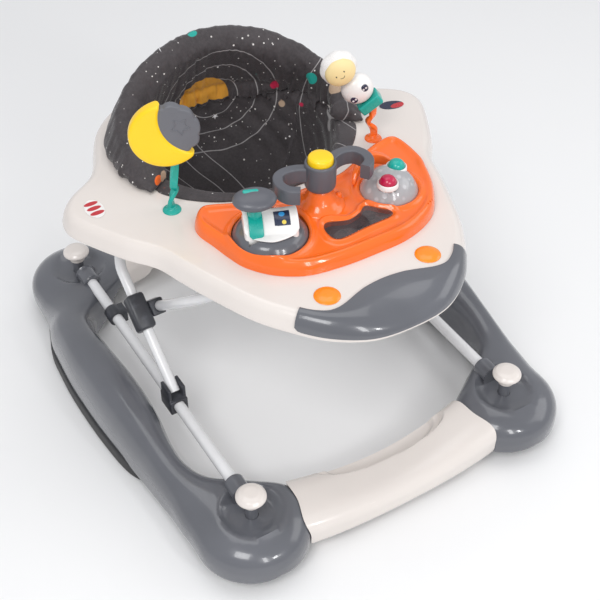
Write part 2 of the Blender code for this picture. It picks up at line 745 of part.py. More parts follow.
def make_tray():
    work = bmesh.new()
    rows = [[work.verts.new((x, y, z)) for x, y in loop] for loop, z in tray_rings()]
    hole = [work.verts.new((x, y, TRAY_TOP)) for x, y in circle((0, SEAT_Y), SEAT_R, 40)]
    lip = [work.verts.new((v.co.x, v.co.y, TRAY_TOP - 0.016)) for v in hole]
    for a, b in list(zip(rows, rows[1:])) + [(hole, lip)]:
        count = len(a)
        for i in range(count):
            work.faces.new((a[i], a[(i + 1) % count], b[(i + 1) % count], b[i]))
    edges = []
    for ring in (rows[-1], hole):
        for i in range(len(ring)):
            edges.append(work.edges.get((ring[i], ring[(i + 1) % len(ring)])))
    bmesh.ops.triangle_fill(work, use_beauty=True, edges=edges, normal=(0, 0, 1))
    bmesh.ops.recalc_face_normals(work, faces=work.faces)
    flat = [f for f in work.faces if abs(f.normal.z) > 0.99]
    if flat and flat[0].normal.z < 0:
        bmesh.ops.reverse_faces(work, faces=work.faces)
    mesh = bpy.data.meshes.new("tray")
    work.to_mesh(mesh)
    work.free()
    tray = bpy.data.objects.new("tray", mesh)
    PARTS.objects.link(tray)
    modify(tray, "SOLIDIFY", thickness=TRAY_WALL, offset=-1.0, use_even_offset=True)
    tray = bake(tray)
    for side in (-1, 1):
        low, high = sorted((side * 0.1505, side * 0.1555))
        foot = (low, TRAY_PIVOT_Y - 0.010, TRAY_PIVOT_Z - 0.0085)
        lug = box(foot, (high, TRAY_PIVOT_Y + 0.010, TRAY_TOP - 0.001))
        start, end = ((side * x, TRAY_PIVOT_Y, TRAY_PIVOT_Z) for x in (0.153, 0.1745))
        pin = rod(start, end, PIN_R, 12)
        tray = join(tray, lug, pin)
    return part(tray, "tray", "cream", TRAY, 25)


def make_bumper():
    """Crescent on the sloping nose, just clear of it."""
    rings = tray_rings()
    deck = rings[2][0]
    edge = rings[1][0]
    count = len(deck)
    near = [i for i in range(count) if edge[i][1] < -0.2 and abs(edge[i][0]) < 0.108]
    near.sort(key=lambda i: edge[i][0])
    work = bmesh.new()
    rows = []
    for i in near:
        top = Vector((*deck[i], TRAY_TOP))
        low = Vector((*edge[i], TRAY_EDGE))
        rows.append([work.verts.new(top.lerp(low, t)) for t in (0.06, 0.35, 0.65, 0.94)])
    for a, b in zip(rows, rows[1:]):
        for k in range(3):
            work.faces.new((a[k], a[k + 1], b[k + 1], b[k]))
    bmesh.ops.recalc_face_normals(work, faces=work.faces)
    if sum(f.normal.z for f in work.faces) < 0:
        bmesh.ops.reverse_faces(work, faces=work.faces)
    work.normal_update()
    for v in work.verts:
        v.co += v.normal * BUMPER_STANDOFF
    mesh = bpy.data.meshes.new("nose_bumper")
    work.to_mesh(mesh)
    work.free()
    bumper = bpy.data.objects.new("nose_bumper", mesh)
    PARTS.objects.link(bumper)
    modify(bumper, "SOLIDIFY", thickness=BUMPER_WALL, offset=1.0, use_even_offset=True)
    return part(bake(bumper), "nose_bumper", "slate", TRAY)


def make_headlight(name, side):
    profile = [
        (0.0, DECK_Z + 0.0045), (0.011, DECK_Z + 0.0038), (0.0165, DECK_Z + 0.0016), (0.0170, DECK_Z),
        (0.0, DECK_Z),
    ]
    return part(turned(profile, (side * 0.075, -0.249), 20), name, "orange", TRAY)


# ---- seat ----

def make_seat_back():
    """Padded horseshoe: it stands on the tray round the hole and leans in to its rim."""
    rings = []
    half = 0.016
    for turn in np.radians(np.linspace(-118, 118, 30)):
        c = math.cos(turn)
        s = math.sin(turn)
        base = Vector((0.174 * s, SEAT_Y + 0.152 * c, DECK_Z))
        depth = 0.100 if c > 0 else 0.130
        crown = 0.391 + 0.071 * max(c, 0) ** 1.5 - 0.030 * max(-c, 0) * 1.6
        rim = Vector((0.162 * s, SEAT_Y + depth * c, crown))
        out = Vector((s / 0.174, c / 0.152, 0)).normalized()
        ring = [base + out * half, base.lerp(rim, 0.5) + out * (half + 0.003)]
        for k in np.radians([0, 36, 72, 108, 144, 180]):
            ring.append(rim + out * half * math.cos(k) + Vector((0, 0, half * math.sin(k))))
        ring += [base.lerp(rim, 0.5) - out * half, base - out * half]
        rings.append(ring)
    return part(loft(rings), "seat_back", "fabric", TRAY)


def make_sling():
    """Fabric bucket inside the seat hole, with two leg holes towards the front."""
    outer = [(0.1465, 0.3590), (0.1440, 0.320), (0.1320, 0.270), (0.1050, 0.230), (0.0600, 0.210),
             (0.0, 0.2050)]
    inner = [(r - 0.004 if r > 0.01 else 0.0, z + 0.004) for r, z in outer]
    inner[0] = (outer[0][0] - 0.004, outer[0][1])
    bucket = turned(list(reversed(inner)) + outer, (0, SEAT_Y), 26)
    work = bmesh.new()
    work.from_mesh(bucket.data)
    bmesh.ops.recalc_face_normals(work, faces=work.faces)
    work.to_mesh(bucket.data)
    work.free()
    for side in (-1, 1):
        start = (side * 0.048, SEAT_Y - 0.030, 0.262)
        end = (side * 0.110, SEAT_Y - 0.170, 0.225)
        bucket = cut(bucket, rod(start, end, 0.043, 20))
    return part(bucket, "seat_sling", "fabric", TRAY)


# ---- play panel ----

def drum_frame():
    return Matrix.Translation((*BOWL_AT, DRUM_Z)) @ Matrix.Rotation(DRUM_TURN, 4, "Z")


def make_panel():
    panel = plate(smooth_loop(PANEL_OUTLINE, 1), DECK_Z, PANEL_TOP)
    panel = bevel(panel, 0.0030, 1, 50)
    panel = cut(panel, plate(inset(smooth_loop(PANEL_OUTLINE, 1), -0.005), 0.34, PANEL_TOP - 0.0035))
    panel = cut(panel, rod((*BOWL_AT, 0.34), (*BOWL_AT, 0.40), BOWL_R + 0.0006, 32))
    panel = cut(panel, rod((*DOME_AT, 0.34), (*DOME_AT, 0.40), DOME_R + 0.0006, 32))
    panel = cut(panel, plate(inset(smooth_loop(WINDOW_OUTLINE, 2), -0.0006), PANEL_TOP - 0.0020, 0.40))
    column = [(0.0, 0.4095), (0.013, 0.4095), (0.0165, 0.400), (0.0235, 0.386), (0.0290, 0.3765),
              (0.0, 0.3765)]
    panel = join(panel, turned(column, WHEEL_AT, 28))
    panel = cut(panel, rod((*WHEEL_AT, 0.385), (*WHEEL_AT, 0.42), 0.0062, 16))
    return part(panel, "play_panel", "orange", TRAY)


def make_window():
    pane = plate(smooth_loop(WINDOW_OUTLINE, 2), PANEL_TOP - 0.0020 + GAP, PANEL_TOP + 0.0015)
    return part(bevel(pane, 0.0012, 1, 50), "window", "smoke", TRAY)


def make_bowl():
    profile = [
        (0.0, 0.3630), (0.0415, 0.3630), (0.0445, 0.3700), (0.0455, 0.3800), (0.0478, 0.3825),
        (BOWL_R, 0.3800), (BOWL_R, DECK_Z), (0.0, DECK_Z),
    ]
    bowl = turned(profile, BOWL_AT, 28)
    frame = drum_frame()
    for side in (-1, 1):
        ear = box((side * 0.0395 - 0.0015, -0.006, 0.3615 - DRUM_Z), (side * 0.0395 + 0.0015, 0.006, 0.006))
        bowl = join(bowl, moved(ear, turn=frame))
    return part(bowl, "dial_bowl", "slate", TRAY)


def make_drum():
    """Saddle cover: a drum cut off below, held between the bowl's two ears."""
    end = [(0.0, DRUM_HALF), (0.016, DRUM_HALF), (DRUM_R - 0.003, DRUM_HALF - 0.002), (DRUM_R, DRUM_HALF - 0.010)]
    profile = end + [(DRUM_R - 0.002, 0.0)] + [(r, -z) for r, z in reversed(end)]
    drum = turned(profile, (0, 0), 28)
    drum = moved(drum, turn=Matrix.Rotation(math.radians(90), 4, "Y"))
    drum = cut(drum, box((-0.05, -0.05, -0.06), (0.05, 0.05, 0.3640 - DRUM_Z)))
    return part(moved(drum, turn=drum_frame()), "dial_drum", "white", TRAY)


LEVER_LEAN = math.radians(10)   # the lever rests leaning forwards, towards the nose
LEVER_OFFSET = -0.0195          # along the drum's axis, towards the tray's left side


def lever_matrix():
    return drum_frame() @ Matrix.Translation((LEVER_OFFSET, 0, 0)) @ Matrix.Rotation(LEVER_LEAN, 4, "X")


LEVER = ("pivot_lever", (*BOWL_AT, DRUM_Z))


def make_lever():
    """Strap that rides over the drum and carries the post of the lever head."""
    strap_r = DRUM_R + 0.0026
    corners = ((-0.002, -0.009), (-0.002, 0.009), (0.002, 0.009), (0.002, -0.009))
    rings = []
    for a in np.radians(np.linspace(-62, 62, 15)):
        out = Vector((0, math.sin(a), math.cos(a)))
        rings.append([out * (strap_r + r) + Vector((w, 0, 0)) for r, w in corners])
    strap = loft(rings)
    post = rod((0, 0, DRUM_R + 0.002), (0, 0, DRUM_R + 0.022), 0.0085, 16, 0.007)
    lever = join(strap, post)
    return part(moved(lever, turn=lever_matrix()), "lever", "teal", LEVER)


def make_lever_head():
    head = ball((0, 0, DRUM_R + 0.0315), (0.0275, 0.0195, 0.0090))
    head = cut(head, rod((0, 0, 0), (0, 0, DRUM_R + 0.0223), 0.02, 20))
    return part(moved(head, turn=lever_matrix()), "lever_head", "slate", LEVER)


STEER = ("pivot_steering", (*WHEEL_AT, 0.40))


def make_steering_wheel():
    """Yoke: a hub with a C-shaped grip on each side; the hub is bored for the horn button."""
    hub = turned([(0.0, 0.4480), (0.0195, 0.4480), (0.0200, 0.4100), (0.0, 0.4100)], WHEEL_AT, 28)
    spigot = rod((*WHEEL_AT, 0.3870), (*WHEEL_AT, 0.4150), 0.0057, 16)
    wheel = join(hub, spigot)
    for side in (-1, 1):
        line = [(0.014, 0.004), (0.030, 0.012), (0.046, 0.014), (0.060, 0.006), (0.064, -0.010),
                (0.058, -0.024), (0.046, -0.030)]
        rings = []
        path = smooth_loop(line, 3, closed=False)
        ahead = np.gradient(path, axis=0)
        ahead /= np.linalg.norm(ahead, axis=1)[:, None]
        for (px, py), (dx, dy) in zip(path, ahead):
            ring = []
            for w, h in ((-0.0065, -0.0105), (0.0065, -0.0105), (0.0065, 0.0095), (-0.0065, 0.0095)):
                x = WHEEL_AT[0] + side * (px - dy * w)
                ring.append((x, WHEEL_AT[1] + py + dx * w, 0.4320 + h))
            rings.append(ring)
        wheel = join(wheel, loft(rings))
    wheel = cut(wheel, rod((*WHEEL_AT, 0.4400), (*WHEEL_AT, 0.4600), 0.0170, 28))
    return part(wheel, "steering_wheel", "slate", STEER)


def make_horn():
    profile = [(0.0, 0.4570), (0.012, 0.4562), (0.0160, 0.4535), (0.0166, 0.4505), (0.0166, 0.4436),
               (0.0, 0.4436)]
    return part(turned(profile, WHEEL_AT, 28), "horn_button", "yellow", ("pivot_horn", (*WHEEL_AT, 0.4436)))


def make_dome():
    profile = [
        (0.0, 0.4080), (0.018, 0.4050), (0.029, 0.3960), (0.0355, 0.3850), (DOME_R, 0.3800), (DOME_R, DECK_Z),
        (0.0355, DECK_Z), (0.0335, 0.3840), (0.026, 0.3925), (0.0, 0.3935),
    ]
    dome = turned(profile, DOME_AT, 28)
    for at in BUTTONS.values():
        dome = cut(dome, rod((*at, 0.3940), (*at, 0.4200), BUTTON_R + 0.0005, 20))
    return part(dome, "light_dome", "dome", TRAY)


def make_button(name, slot):
    at = BUTTONS[name]
    profile = [
        (0.0, 0.4140), (0.006, 0.4128), (0.0098, 0.4095), (BUTTON_R, 0.4050), (BUTTON_R, 0.3980),
        (0.0, 0.3980),
    ]
    return part(turned(profile, at, 20), name, slot, ("pivot_" + name, (*at, 0.398)))


def stalk(side, tip, bend):
    """Moulded stalk with a flange where it leaves the tray."""
    x = side * STALK_X
    collar = [(0.0, 0.006), (0.0075, 0.005), (0.0125, 0.0015), (0.0125, 0.0), (0.0, 0.0)]
    flange = turned([(r, DECK_Z + z) for r, z in collar], (x, 0.0), 20)
    wave = [(x + bend, 0.003, 0.390), (x + bend * 0.6, -0.002, 0.402)]
    knots = [(x, 0.0, DECK_Z + 0.003), (x, 0.0, 0.377), *wave, tip]
    return join(flange, solid_tube(smooth_loop(knots, 3, closed=False), 0.0042, 8))


MOON_TURN = Matrix.Rotation(math.radians(-22), 4, "Z")
MOON_STAND = MOON_TURN @ Matrix.Rotation(math.radians(90), 4, "X") @ Matrix.Rotation(math.radians(28), 4, "Z")
MOON_AT = Vector((-0.160, 0.0, 0.480))
MOON_R = 0.046
MOON_HOLLOW_X = 0.0377
MOON_HOLLOW_R = 0.0437
MOON = ("pivot_moon", (-STALK_X, 0, DECK_Z))
LAMB_LEAN = Matrix.Rotation(math.radians(-22), 4, "Z") @ Matrix.Rotation(math.radians(-38), 4, "Y")
LAMB_FOOT = Vector((0.156, 0.0, 0.418))


def make_moon_stalk():
    return part(stalk(-1, (-0.150, -0.001, 0.4330), 0.008), "moon_stalk", "teal", MOON)


def moon_outline(grow):
    """A round back from one blunt horn to the other, and the hollow's shallower arc."""
    back = np.radians(np.linspace(68, 292, 20))
    hollow = np.radians(np.linspace(240, 120, 14))
    outer = [((MOON_R + grow) * math.cos(a), (MOON_R + grow) * math.sin(a)) for a in back]
    radius = MOON_HOLLOW_R - grow
    return outer + [(MOON_HOLLOW_X + radius * math.cos(a), radius * math.sin(a)) for a in hollow]


def make_moon():
    """Crescent with its horns at the upper right and lower right."""
    moon = bevel(plate(moon_outline(0), -0.0085, 0.0085), 0.0025, 1, 50)
    moon = moved(moon, MOON_AT, MOON_STAND)
    moon = cut(moon, rod((-0.150, -0.001, 0.40), (-0.150, -0.001, 0.4336), 0.012, 12))
    return part(moon, "moon", "yellow", MOON)


def make_cloud():
    """Cloud in the crescent's hollow: three lobes in one flat shape."""
    lobes = [(0.014, 0.000, 0.019), (0.026, 0.014, 0.015), (0.030, -0.010, 0.014)]
    cloud = None
    for x, y, radius in lobes:
        disc = rod((x, y, -0.0065), (x, y, 0.0065), radius, 20)
        cloud = disc if cloud is None else join(cloud, disc)
    cloud = moved(cloud, MOON_AT, MOON_STAND)
    room = moved(plate(moon_outline(0.0008), -0.02, 0.02), MOON_AT, MOON_STAND)
    return part(cut(cloud, room), "cloud", "cloud", MOON)


def lamb(item):
    return moved(item, LAMB_FOOT, LAMB_LEAN)


LAMB = ("pivot_lamb", (STALK_X, 0, DECK_Z))


def make_lamb_stalk():
    return part(stalk(1, (0.1565, 0.0, 0.4175), -0.008), "lamb_stalk", "orange", LAMB)


def make_lamb_base():
    base = bevel(box((-0.0170, -0.0125, 0.0), (0.0170, 0.0125, 0.0150)), 0.003, 1)
    base = lamb(base)
    base = cut(base, rod((0.1560, -0.0008, 0.39), (0.1570, 0, 0.4182), 0.0064, 12))
    return part(base, "lamb_base", "teal", LAMB)


def make_lamb_body():
    body = ball((0, 0, 0.0385), (0.0225, 0.0165, 0.0260))
    below = box((-0.05, -0.05, -0.02), (0.05, 0.05, 0.0153))
    above = box((-0.05, -0.05, 0.0590), (0.05, 0.05, 0.09))
    body = cut(body, below, above)
    return part(lamb(body), "lamb_body", "white", LAMB)


def make_lamb_head():
    head = ball((0, 0, 0.0810), (0.0260, 0.0190, 0.0245))
    head = cut(head, box((-0.05, -0.05, 0.0), (0.05, 0.05, 0.0593)))
    return part(lamb(head), "lamb_head", "white", LAMB)


# ---- build ----

clear_scene()
PARTS = make_collection("baby_walker")

for side_name, side in (("left", -1), ("right", 1)):
    make_rail(side_name + "_rail", side)
    make_rocker(side_name + "_rocker", side)
    make_base_tube(side_name + "_base_tube", side)
    make_ring_clip(side_name + "_ring_clip", side)
    make_slide_block(side_name + "_slide_block", side)
    make_clamp(side_name + "_cross_clamp", side)
    make_saddle(side_name + "_leg_saddle", side)
    make_headlight(side_name + "_headlight", side)
    for end_name, end in (("front", -1), ("rear", 1)):
        label = end_name + "_" + side_name
        at = (side * FOOT_X, end * FOOT_Y)
        make_knob(label + "_knob", at, ("pivot_" + label + "_knob", (*at, POCKET_TOP)))
        make_fork(label + "_fork", at, ("pivot_" + label + "_fork", (*at, AXLE_Z)))
        hub = ("pivot_" + label + "_wheel", (at[0] + WHEEL_OFFSET, at[1], AXLE_Z))
        make_wheel(label + "_wheel", at, hub)
        make_axle(label + "_axle", at, ("pivot_" + label + "_fork", (*at, AXLE_Z)))

make_crossbar("front_crossbar", -1)
make_crossbar("rear_crossbar", 1)
make_inner_frame()
make_outer_frame()
make_tray()
make_bumper()
make_seat_back()
make_sling()
make_panel()
make_window()
make_bowl()
make_drum()
make_lever()
make_lever_head()
make_steering_wheel()
make_horn()
make_dome()
make_button("crimson_button", "crimson")
make_button("teal_button", "teal")
make_moon_stalk()
make_moon()
make_cloud()
make_lamb_stalk()
make_lamb_base()
make_lamb_body()
make_lamb_head()
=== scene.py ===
import math

import bmesh
import bpy
import numpy as np
from mathutils import Matrix, Vector


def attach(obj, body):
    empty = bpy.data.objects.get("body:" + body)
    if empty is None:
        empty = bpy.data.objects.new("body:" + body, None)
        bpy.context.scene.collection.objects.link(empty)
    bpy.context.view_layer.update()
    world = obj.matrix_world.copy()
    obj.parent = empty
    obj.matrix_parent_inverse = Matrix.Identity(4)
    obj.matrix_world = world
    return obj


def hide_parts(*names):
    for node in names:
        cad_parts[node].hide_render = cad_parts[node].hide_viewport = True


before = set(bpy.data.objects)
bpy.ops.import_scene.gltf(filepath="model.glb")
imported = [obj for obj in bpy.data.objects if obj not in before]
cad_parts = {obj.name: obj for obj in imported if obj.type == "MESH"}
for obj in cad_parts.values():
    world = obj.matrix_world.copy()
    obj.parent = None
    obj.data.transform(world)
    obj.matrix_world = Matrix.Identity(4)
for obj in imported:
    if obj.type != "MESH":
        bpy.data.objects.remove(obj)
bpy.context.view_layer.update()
print("frame loaded:", len(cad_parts), "nodes")

# Colours, linear
paint = {
    "cream": (0.735, 0.680, 0.640), "slate": (0.118, 0.122, 0.138), "black": (0.012, 0.012, 0.014),
    "clip": (0.042, 0.044, 0.052), "tube": (0.80, 0.80, 0.81), "orange": (0.93, 0.155, 0.012),
    "amber": (0.95, 0.27, 0.01), "charcoal": (0.047, 0.040, 0.043), "yellow": (0.96, 0.62, 0.006),
    "teal": (0.006, 0.37, 0.31), "crimson": (0.50, 0.008, 0.060), "mustard": (0.72, 0.33, 0.03),
    "beige": (0.50, 0.36, 0.25), "white": (0.84, 0.82, 0.80), "face": (0.90, 0.72, 0.36),
    "navy": (0.010, 0.014, 0.050), "red": (0.50, 0.02, 0.03), "steel": (0.60, 0.60, 0.62),
    "smoke": (0.10, 0.055, 0.06), "bubble": (0.62, 0.62, 0.64), "yoke": (0.105, 0.108, 0.126),
}


# Shader maths: a socket that takes + - * / and a few named steps
class Val:
    def __init__(self, finish, socket):
        self.finish = finish
        self.socket = socket

    def math(self, kind, other=None, flip=False):
        pair = [self] if other is None else ([other, self] if flip else [self, other])
        return self.finish.node("Math", {"operation": kind}, dict(enumerate(pair)))

    def __add__(self, other):
        return self.math("ADD", other)

    def __sub__(self, other):
        return self.math("SUBTRACT", other)

    def __rsub__(self, other):
        return self.math("SUBTRACT", other, True)

    def __mul__(self, other):
        return self.math("MULTIPLY", other)

    def __truediv__(self, other):
        return self.math("DIVIDE", other)

    def __lt__(self, other):
        return self.math("LESS_THAN", other)

    def __gt__(self, other):
        return self.math("GREATER_THAN", other)

    __radd__ = __add__
    __rmul__ = __mul__

    def ramp(self, low, high, start=0.0, end=1.0):
        settings = {"interpolation_type": "SMOOTHSTEP"}
        return self.finish.node("MapRange", settings, {0: self, 1: low, 2: high, 3: start, 4: end})


class Finish:
    def __init__(self, name, colour, rough, **fixed):
        self.material = bpy.data.materials.new(name)
        self.material.use_nodes = True
        self.tree = self.material.node_tree
        self.shader = self.tree.nodes["Principled BSDF"]
        self.feed("Base Color", (*colour, 1.0))
        self.feed("Roughness", rough)
        for socket, value in fixed.items():
            self.feed(socket.replace("_", " "), value)

    def node(self, kind, settings=None, inputs=None, out=0):
        made = self.tree.nodes.new("ShaderNode" + kind)
        for key, value in (settings or {}).items():
            setattr(made, key, value)
        for key, value in (inputs or {}).items():
            if isinstance(value, Val):
                self.tree.links.new(value.socket, made.inputs[key])
            else:
                made.inputs[key].default_value = value
        return Val(self, made.outputs[out])

    def feed(self, socket, value):
        if isinstance(value, Val):
            self.tree.links.new(value.socket, self.shader.inputs[socket])
        else:
            self.shader.inputs[socket].default_value = value

    def place(self):
        return self.node("TexCoord", out=3)

    def parts(self, vector):
        return [self.node("SeparateXYZ", inputs={0: vector}, out=k) for k in range(3)]

    def noise(self, scale, detail=2.0, vector=None):
        return self.node("TexNoise", inputs={"Vector": vector or self.place(), "Scale": scale,
            "Detail": detail})

    def mix(self, factor, a, b):
        inputs = {0: factor, 6: a if isinstance(a, Val) else (*a, 1.0),
            7: b if isinstance(b, Val) else (*b, 1.0)}
        return self.node("Mix", {"data_type": "RGBA"}, inputs, 2)

    def bump(self, height, strength, distance):
        self.feed("Normal", self.node("Bump", inputs={"Strength": strength, "Distance": distance,
            "Height": height}))


def shade(colour, factor):
    return tuple(min(1.0, c * factor) for c in colour)


def mouldedFinish(name, colour, rough=0.2, grain=0.10, coat=0.35, vary=0.06):
    # Gloss moulding: slow flow tone, faint handling smears, fine scuffs and a slight orange peel
    f = Finish(name, colour, rough, Coat_Weight=coat, Coat_Roughness=0.06, IOR=1.48)
    flow = f.noise(9.0, 3.0)
    smear = f.noise(42.0, 4.0)
    f.feed("Base Color", f.mix(flow.ramp(0.3, 0.7), shade(colour, 1 - vary), shade(colour, 1 + vary)))
    scuff = f.noise(1.0, 3.0, f.node("Mapping", inputs={"Vector": f.place(), "Scale": (60, 700, 160)}))
    marks = scuff.ramp(0.66, 0.74) * smear.ramp(0.5, 0.7)
    f.feed("Roughness", rough + smear.ramp(0.35, 0.75) * 0.04 + marks * 0.05)
    f.bump(f.noise(420.0, 1.0) + flow * 0.8, grain, 0.0006)
    return f.material


def satinFinish(name, colour, rough=0.42):
    # Spark-eroded satin plastic with lighter rubbed spots
    f = Finish(name, colour, rough, IOR=1.5)
    rub = f.noise(60.0, 5.0)
    f.feed("Base Color", f.mix(rub.ramp(0.5, 0.72), colour, shade(colour, 1.7)))
    f.feed("Roughness", rough + rub * 0.16 - 0.08)
    f.bump(f.noise(1400.0, 2.0), 0.22, 0.0003)
    return f.material


def tubeFinish(name):
    # Powder coat: orange peel and a little dust
    f = Finish(name, paint["tube"], 0.2, Coat_Weight=0.4, Coat_Roughness=0.05)
    dust = f.noise(30.0, 5.0)
    f.feed("Base Color", f.mix(dust.ramp(0.35, 0.8), paint["tube"], shade(paint["tube"], 0.93)))
    f.feed("Roughness", 0.17 + dust.ramp(0.4, 0.8) * 0.12)
    f.bump(f.noise(520.0, 2.0), 0.16, 0.0005)
    return f.material


def steelFinish(name):
    f = Finish(name, paint["steel"], 0.3, Metallic=1.0)
    line = f.noise(1.0, 4.0, f.node("Mapping", inputs={"Vector": f.place(), "Scale": (900, 40, 900)}))
    f.feed("Roughness", 0.22 + line * 0.2)
    f.feed("Base Color", f.mix(line, shade(paint["steel"], 0.85), paint["steel"]))
    return f.material


def bubbleFinish(name):
    # Cloudy translucent cover with blown bubbles
    f = Finish(name, paint["bubble"], 0.14, Transmission_Weight=0.35, IOR=1.46, Coat_Weight=0.5)
    bubbles = f.node("TexVoronoi", inputs={"Vector": f.place(), "Scale": 95.0})
    dent = bubbles.ramp(0.18, 0.42)
    f.feed("Base Color", f.mix(dent, shade(paint["bubble"], 1.18), shade(paint["bubble"], 0.9)))
    f.feed("Roughness", 0.10 + f.noise(80.0) * 0.12)
    f.bump(dent, 0.35, 0.0012)
    return f.material


def clearFinish(name):
    f = Finish(name, (0.55, 0.47, 0.48), 0.04, Transmission_Weight=0.93, IOR=1.46)
    f.feed("Roughness", 0.03 + f.noise(35.0, 4.0).ramp(0.5, 0.8) * 0.06)
    f.bump(f.noise(160.0), 0.05, 0.0004)
    return f.material


def plushFinish(name, colour):
    # Short white pile over soft plastic
    f = Finish(name, colour, 0.7, Sheen_Weight=0.3, Sheen_Roughness=0.5)
    curl = f.noise(700.0, 4.0)
    f.feed("Base Color", f.mix(curl.ramp(0.3, 0.75), shade(colour, 0.9), shade(colour, 1.05)))
    f.bump(curl + f.noise(190.0, 3.0), 0.35, 0.0008)
    return f.material


def near(f, centre, radius, squash=(1, 1, 1), edge=0.0006):
    # 1 inside an ellipsoid about a point, so a printed patch on any surface that passes through it
    away = f.node("VectorMath", {"operation": "SUBTRACT"}, {0: f.place(), 1: centre})
    away = f.node("VectorMath", {"operation": "MULTIPLY"}, {0: away, 1: squash})
    reach = f.node("VectorMath", {"operation": "LENGTH"}, {0: away}, 1)
    return reach.ramp(radius - edge, radius + edge, 1.0, 0.0)


def orbitMask(f, centre, spacing, inner, outer, width):
    # thin concentric lines: shells about a point, wavering a little
    away = f.node("VectorMath", {"operation": "SUBTRACT"}, {0: f.place(), 1: centre})
    reach = f.node("VectorMath", {"operation": "LENGTH"}, {0: away}, 1)
    reach = reach + f.noise(7.0) * 0.012
    ring = (reach / spacing).math("FRACT") - 0.5
    line = ring.math("ABSOLUTE").ramp(width / spacing, 1.9 * width / spacing, 1.0, 0.0)
    return line * (reach > inner) * (reach < outer)


def starMask(f, centre, size, turn, along, across):
    # five-pointed star drawn in the plane of two directions, on the surface near a point
    away = f.node("VectorMath", {"operation": "SUBTRACT"}, {0: f.place(), 1: centre})
    x = f.node("VectorMath", {"operation": "DOT_PRODUCT"}, {0: away, 1: along}, 1)
    y = f.node("VectorMath", {"operation": "DOT_PRODUCT"}, {0: away, 1: across}, 1)
    reach = f.node("VectorMath", {"operation": "LENGTH"}, {0: away}, 1)
    fifth = 2 * math.pi / 5
    swing = (y.math("ARCTAN2", x) + turn + 4 * math.pi).math("MODULO", fifth)
    swing = (swing - fifth / 2).math("ABSOLUTE")
    lean = fifth / 2 - swing
    inner = 0.42 * size
    edgeX = inner * math.cos(fifth / 2) - size
    edgeY = inner * math.sin(fifth / 2)
    side = (reach * lean.math("COSINE") - size) * edgeY - reach * lean.math("SINE") * edgeX
    return (side < 0.0) * (reach < size * 1.1)


space = {
    "orbits": [    # centre, spacing, nearest, furthest, half width
        ((0.022, 0.232, 0.352), 0.0300, 0.040, 0.106, 0.00050),
            ((-0.130, 0.150, 0.205), 0.0310, 0.060, 0.200, 0.00050),
        ((0.235, 0.060, 0.330), 0.0420, 0.050, 0.150, 0.00045),
        ((-0.260, 0.160, 0.470), 0.0400, 0.050, 0.130, 0.00045)],
    "planets": [
        ((-0.012, 0.214, 0.480), 0.0085, "teal"), ((-0.142, 0.135, 0.428), 0.0085, "mustard"),
        ((0.098, 0.202, 0.432), 0.0065, "crimson"), ((0.086, 0.205, 0.392), 0.0080, "teal"),
        ((0.108, 0.190, 0.366), 0.0070, "crimson"), ((0.112, 0.180, 0.335), 0.0075, "beige"),
        ((0.142, 0.140, 0.392), 0.0090, "teal"), ((0.156, 0.095, 0.395), 0.0110, "beige"),
        ((0.128, 0.150, 0.345), 0.0065, "crimson"), ((-0.066, 0.212, 0.300), 0.0085, "teal"),
        ((-0.150, 0.045, 0.375), 0.0110, "orange"), ((-0.142, 0.058, 0.372), 0.0080, "beige"),
        ((-0.178, 0.050, 0.378), 0.0085, "teal"), ((0.060, 0.275, 0.420), 0.0100, "mustard"),
        ((0.150, 0.225, 0.400), 0.0090, "crimson"), ((-0.060, 0.275, 0.400), 0.0110, "beige")],
    "stars": [
        ((-0.122, 0.182, 0.462), 0.0085), ((-0.062, 0.212, 0.462), 0.0078), ((-0.164, 0.112, 0.410), 0.0078),
        ((0.028, 0.236, 0.310), 0.0060), ((-0.110, 0.262, 0.400), 0.0080), ((0.110, 0.262, 0.390), 0.0075)],
    "dust": [(62.0, 0.078), (62.0, 0.078), (112.0, 0.095)],
}


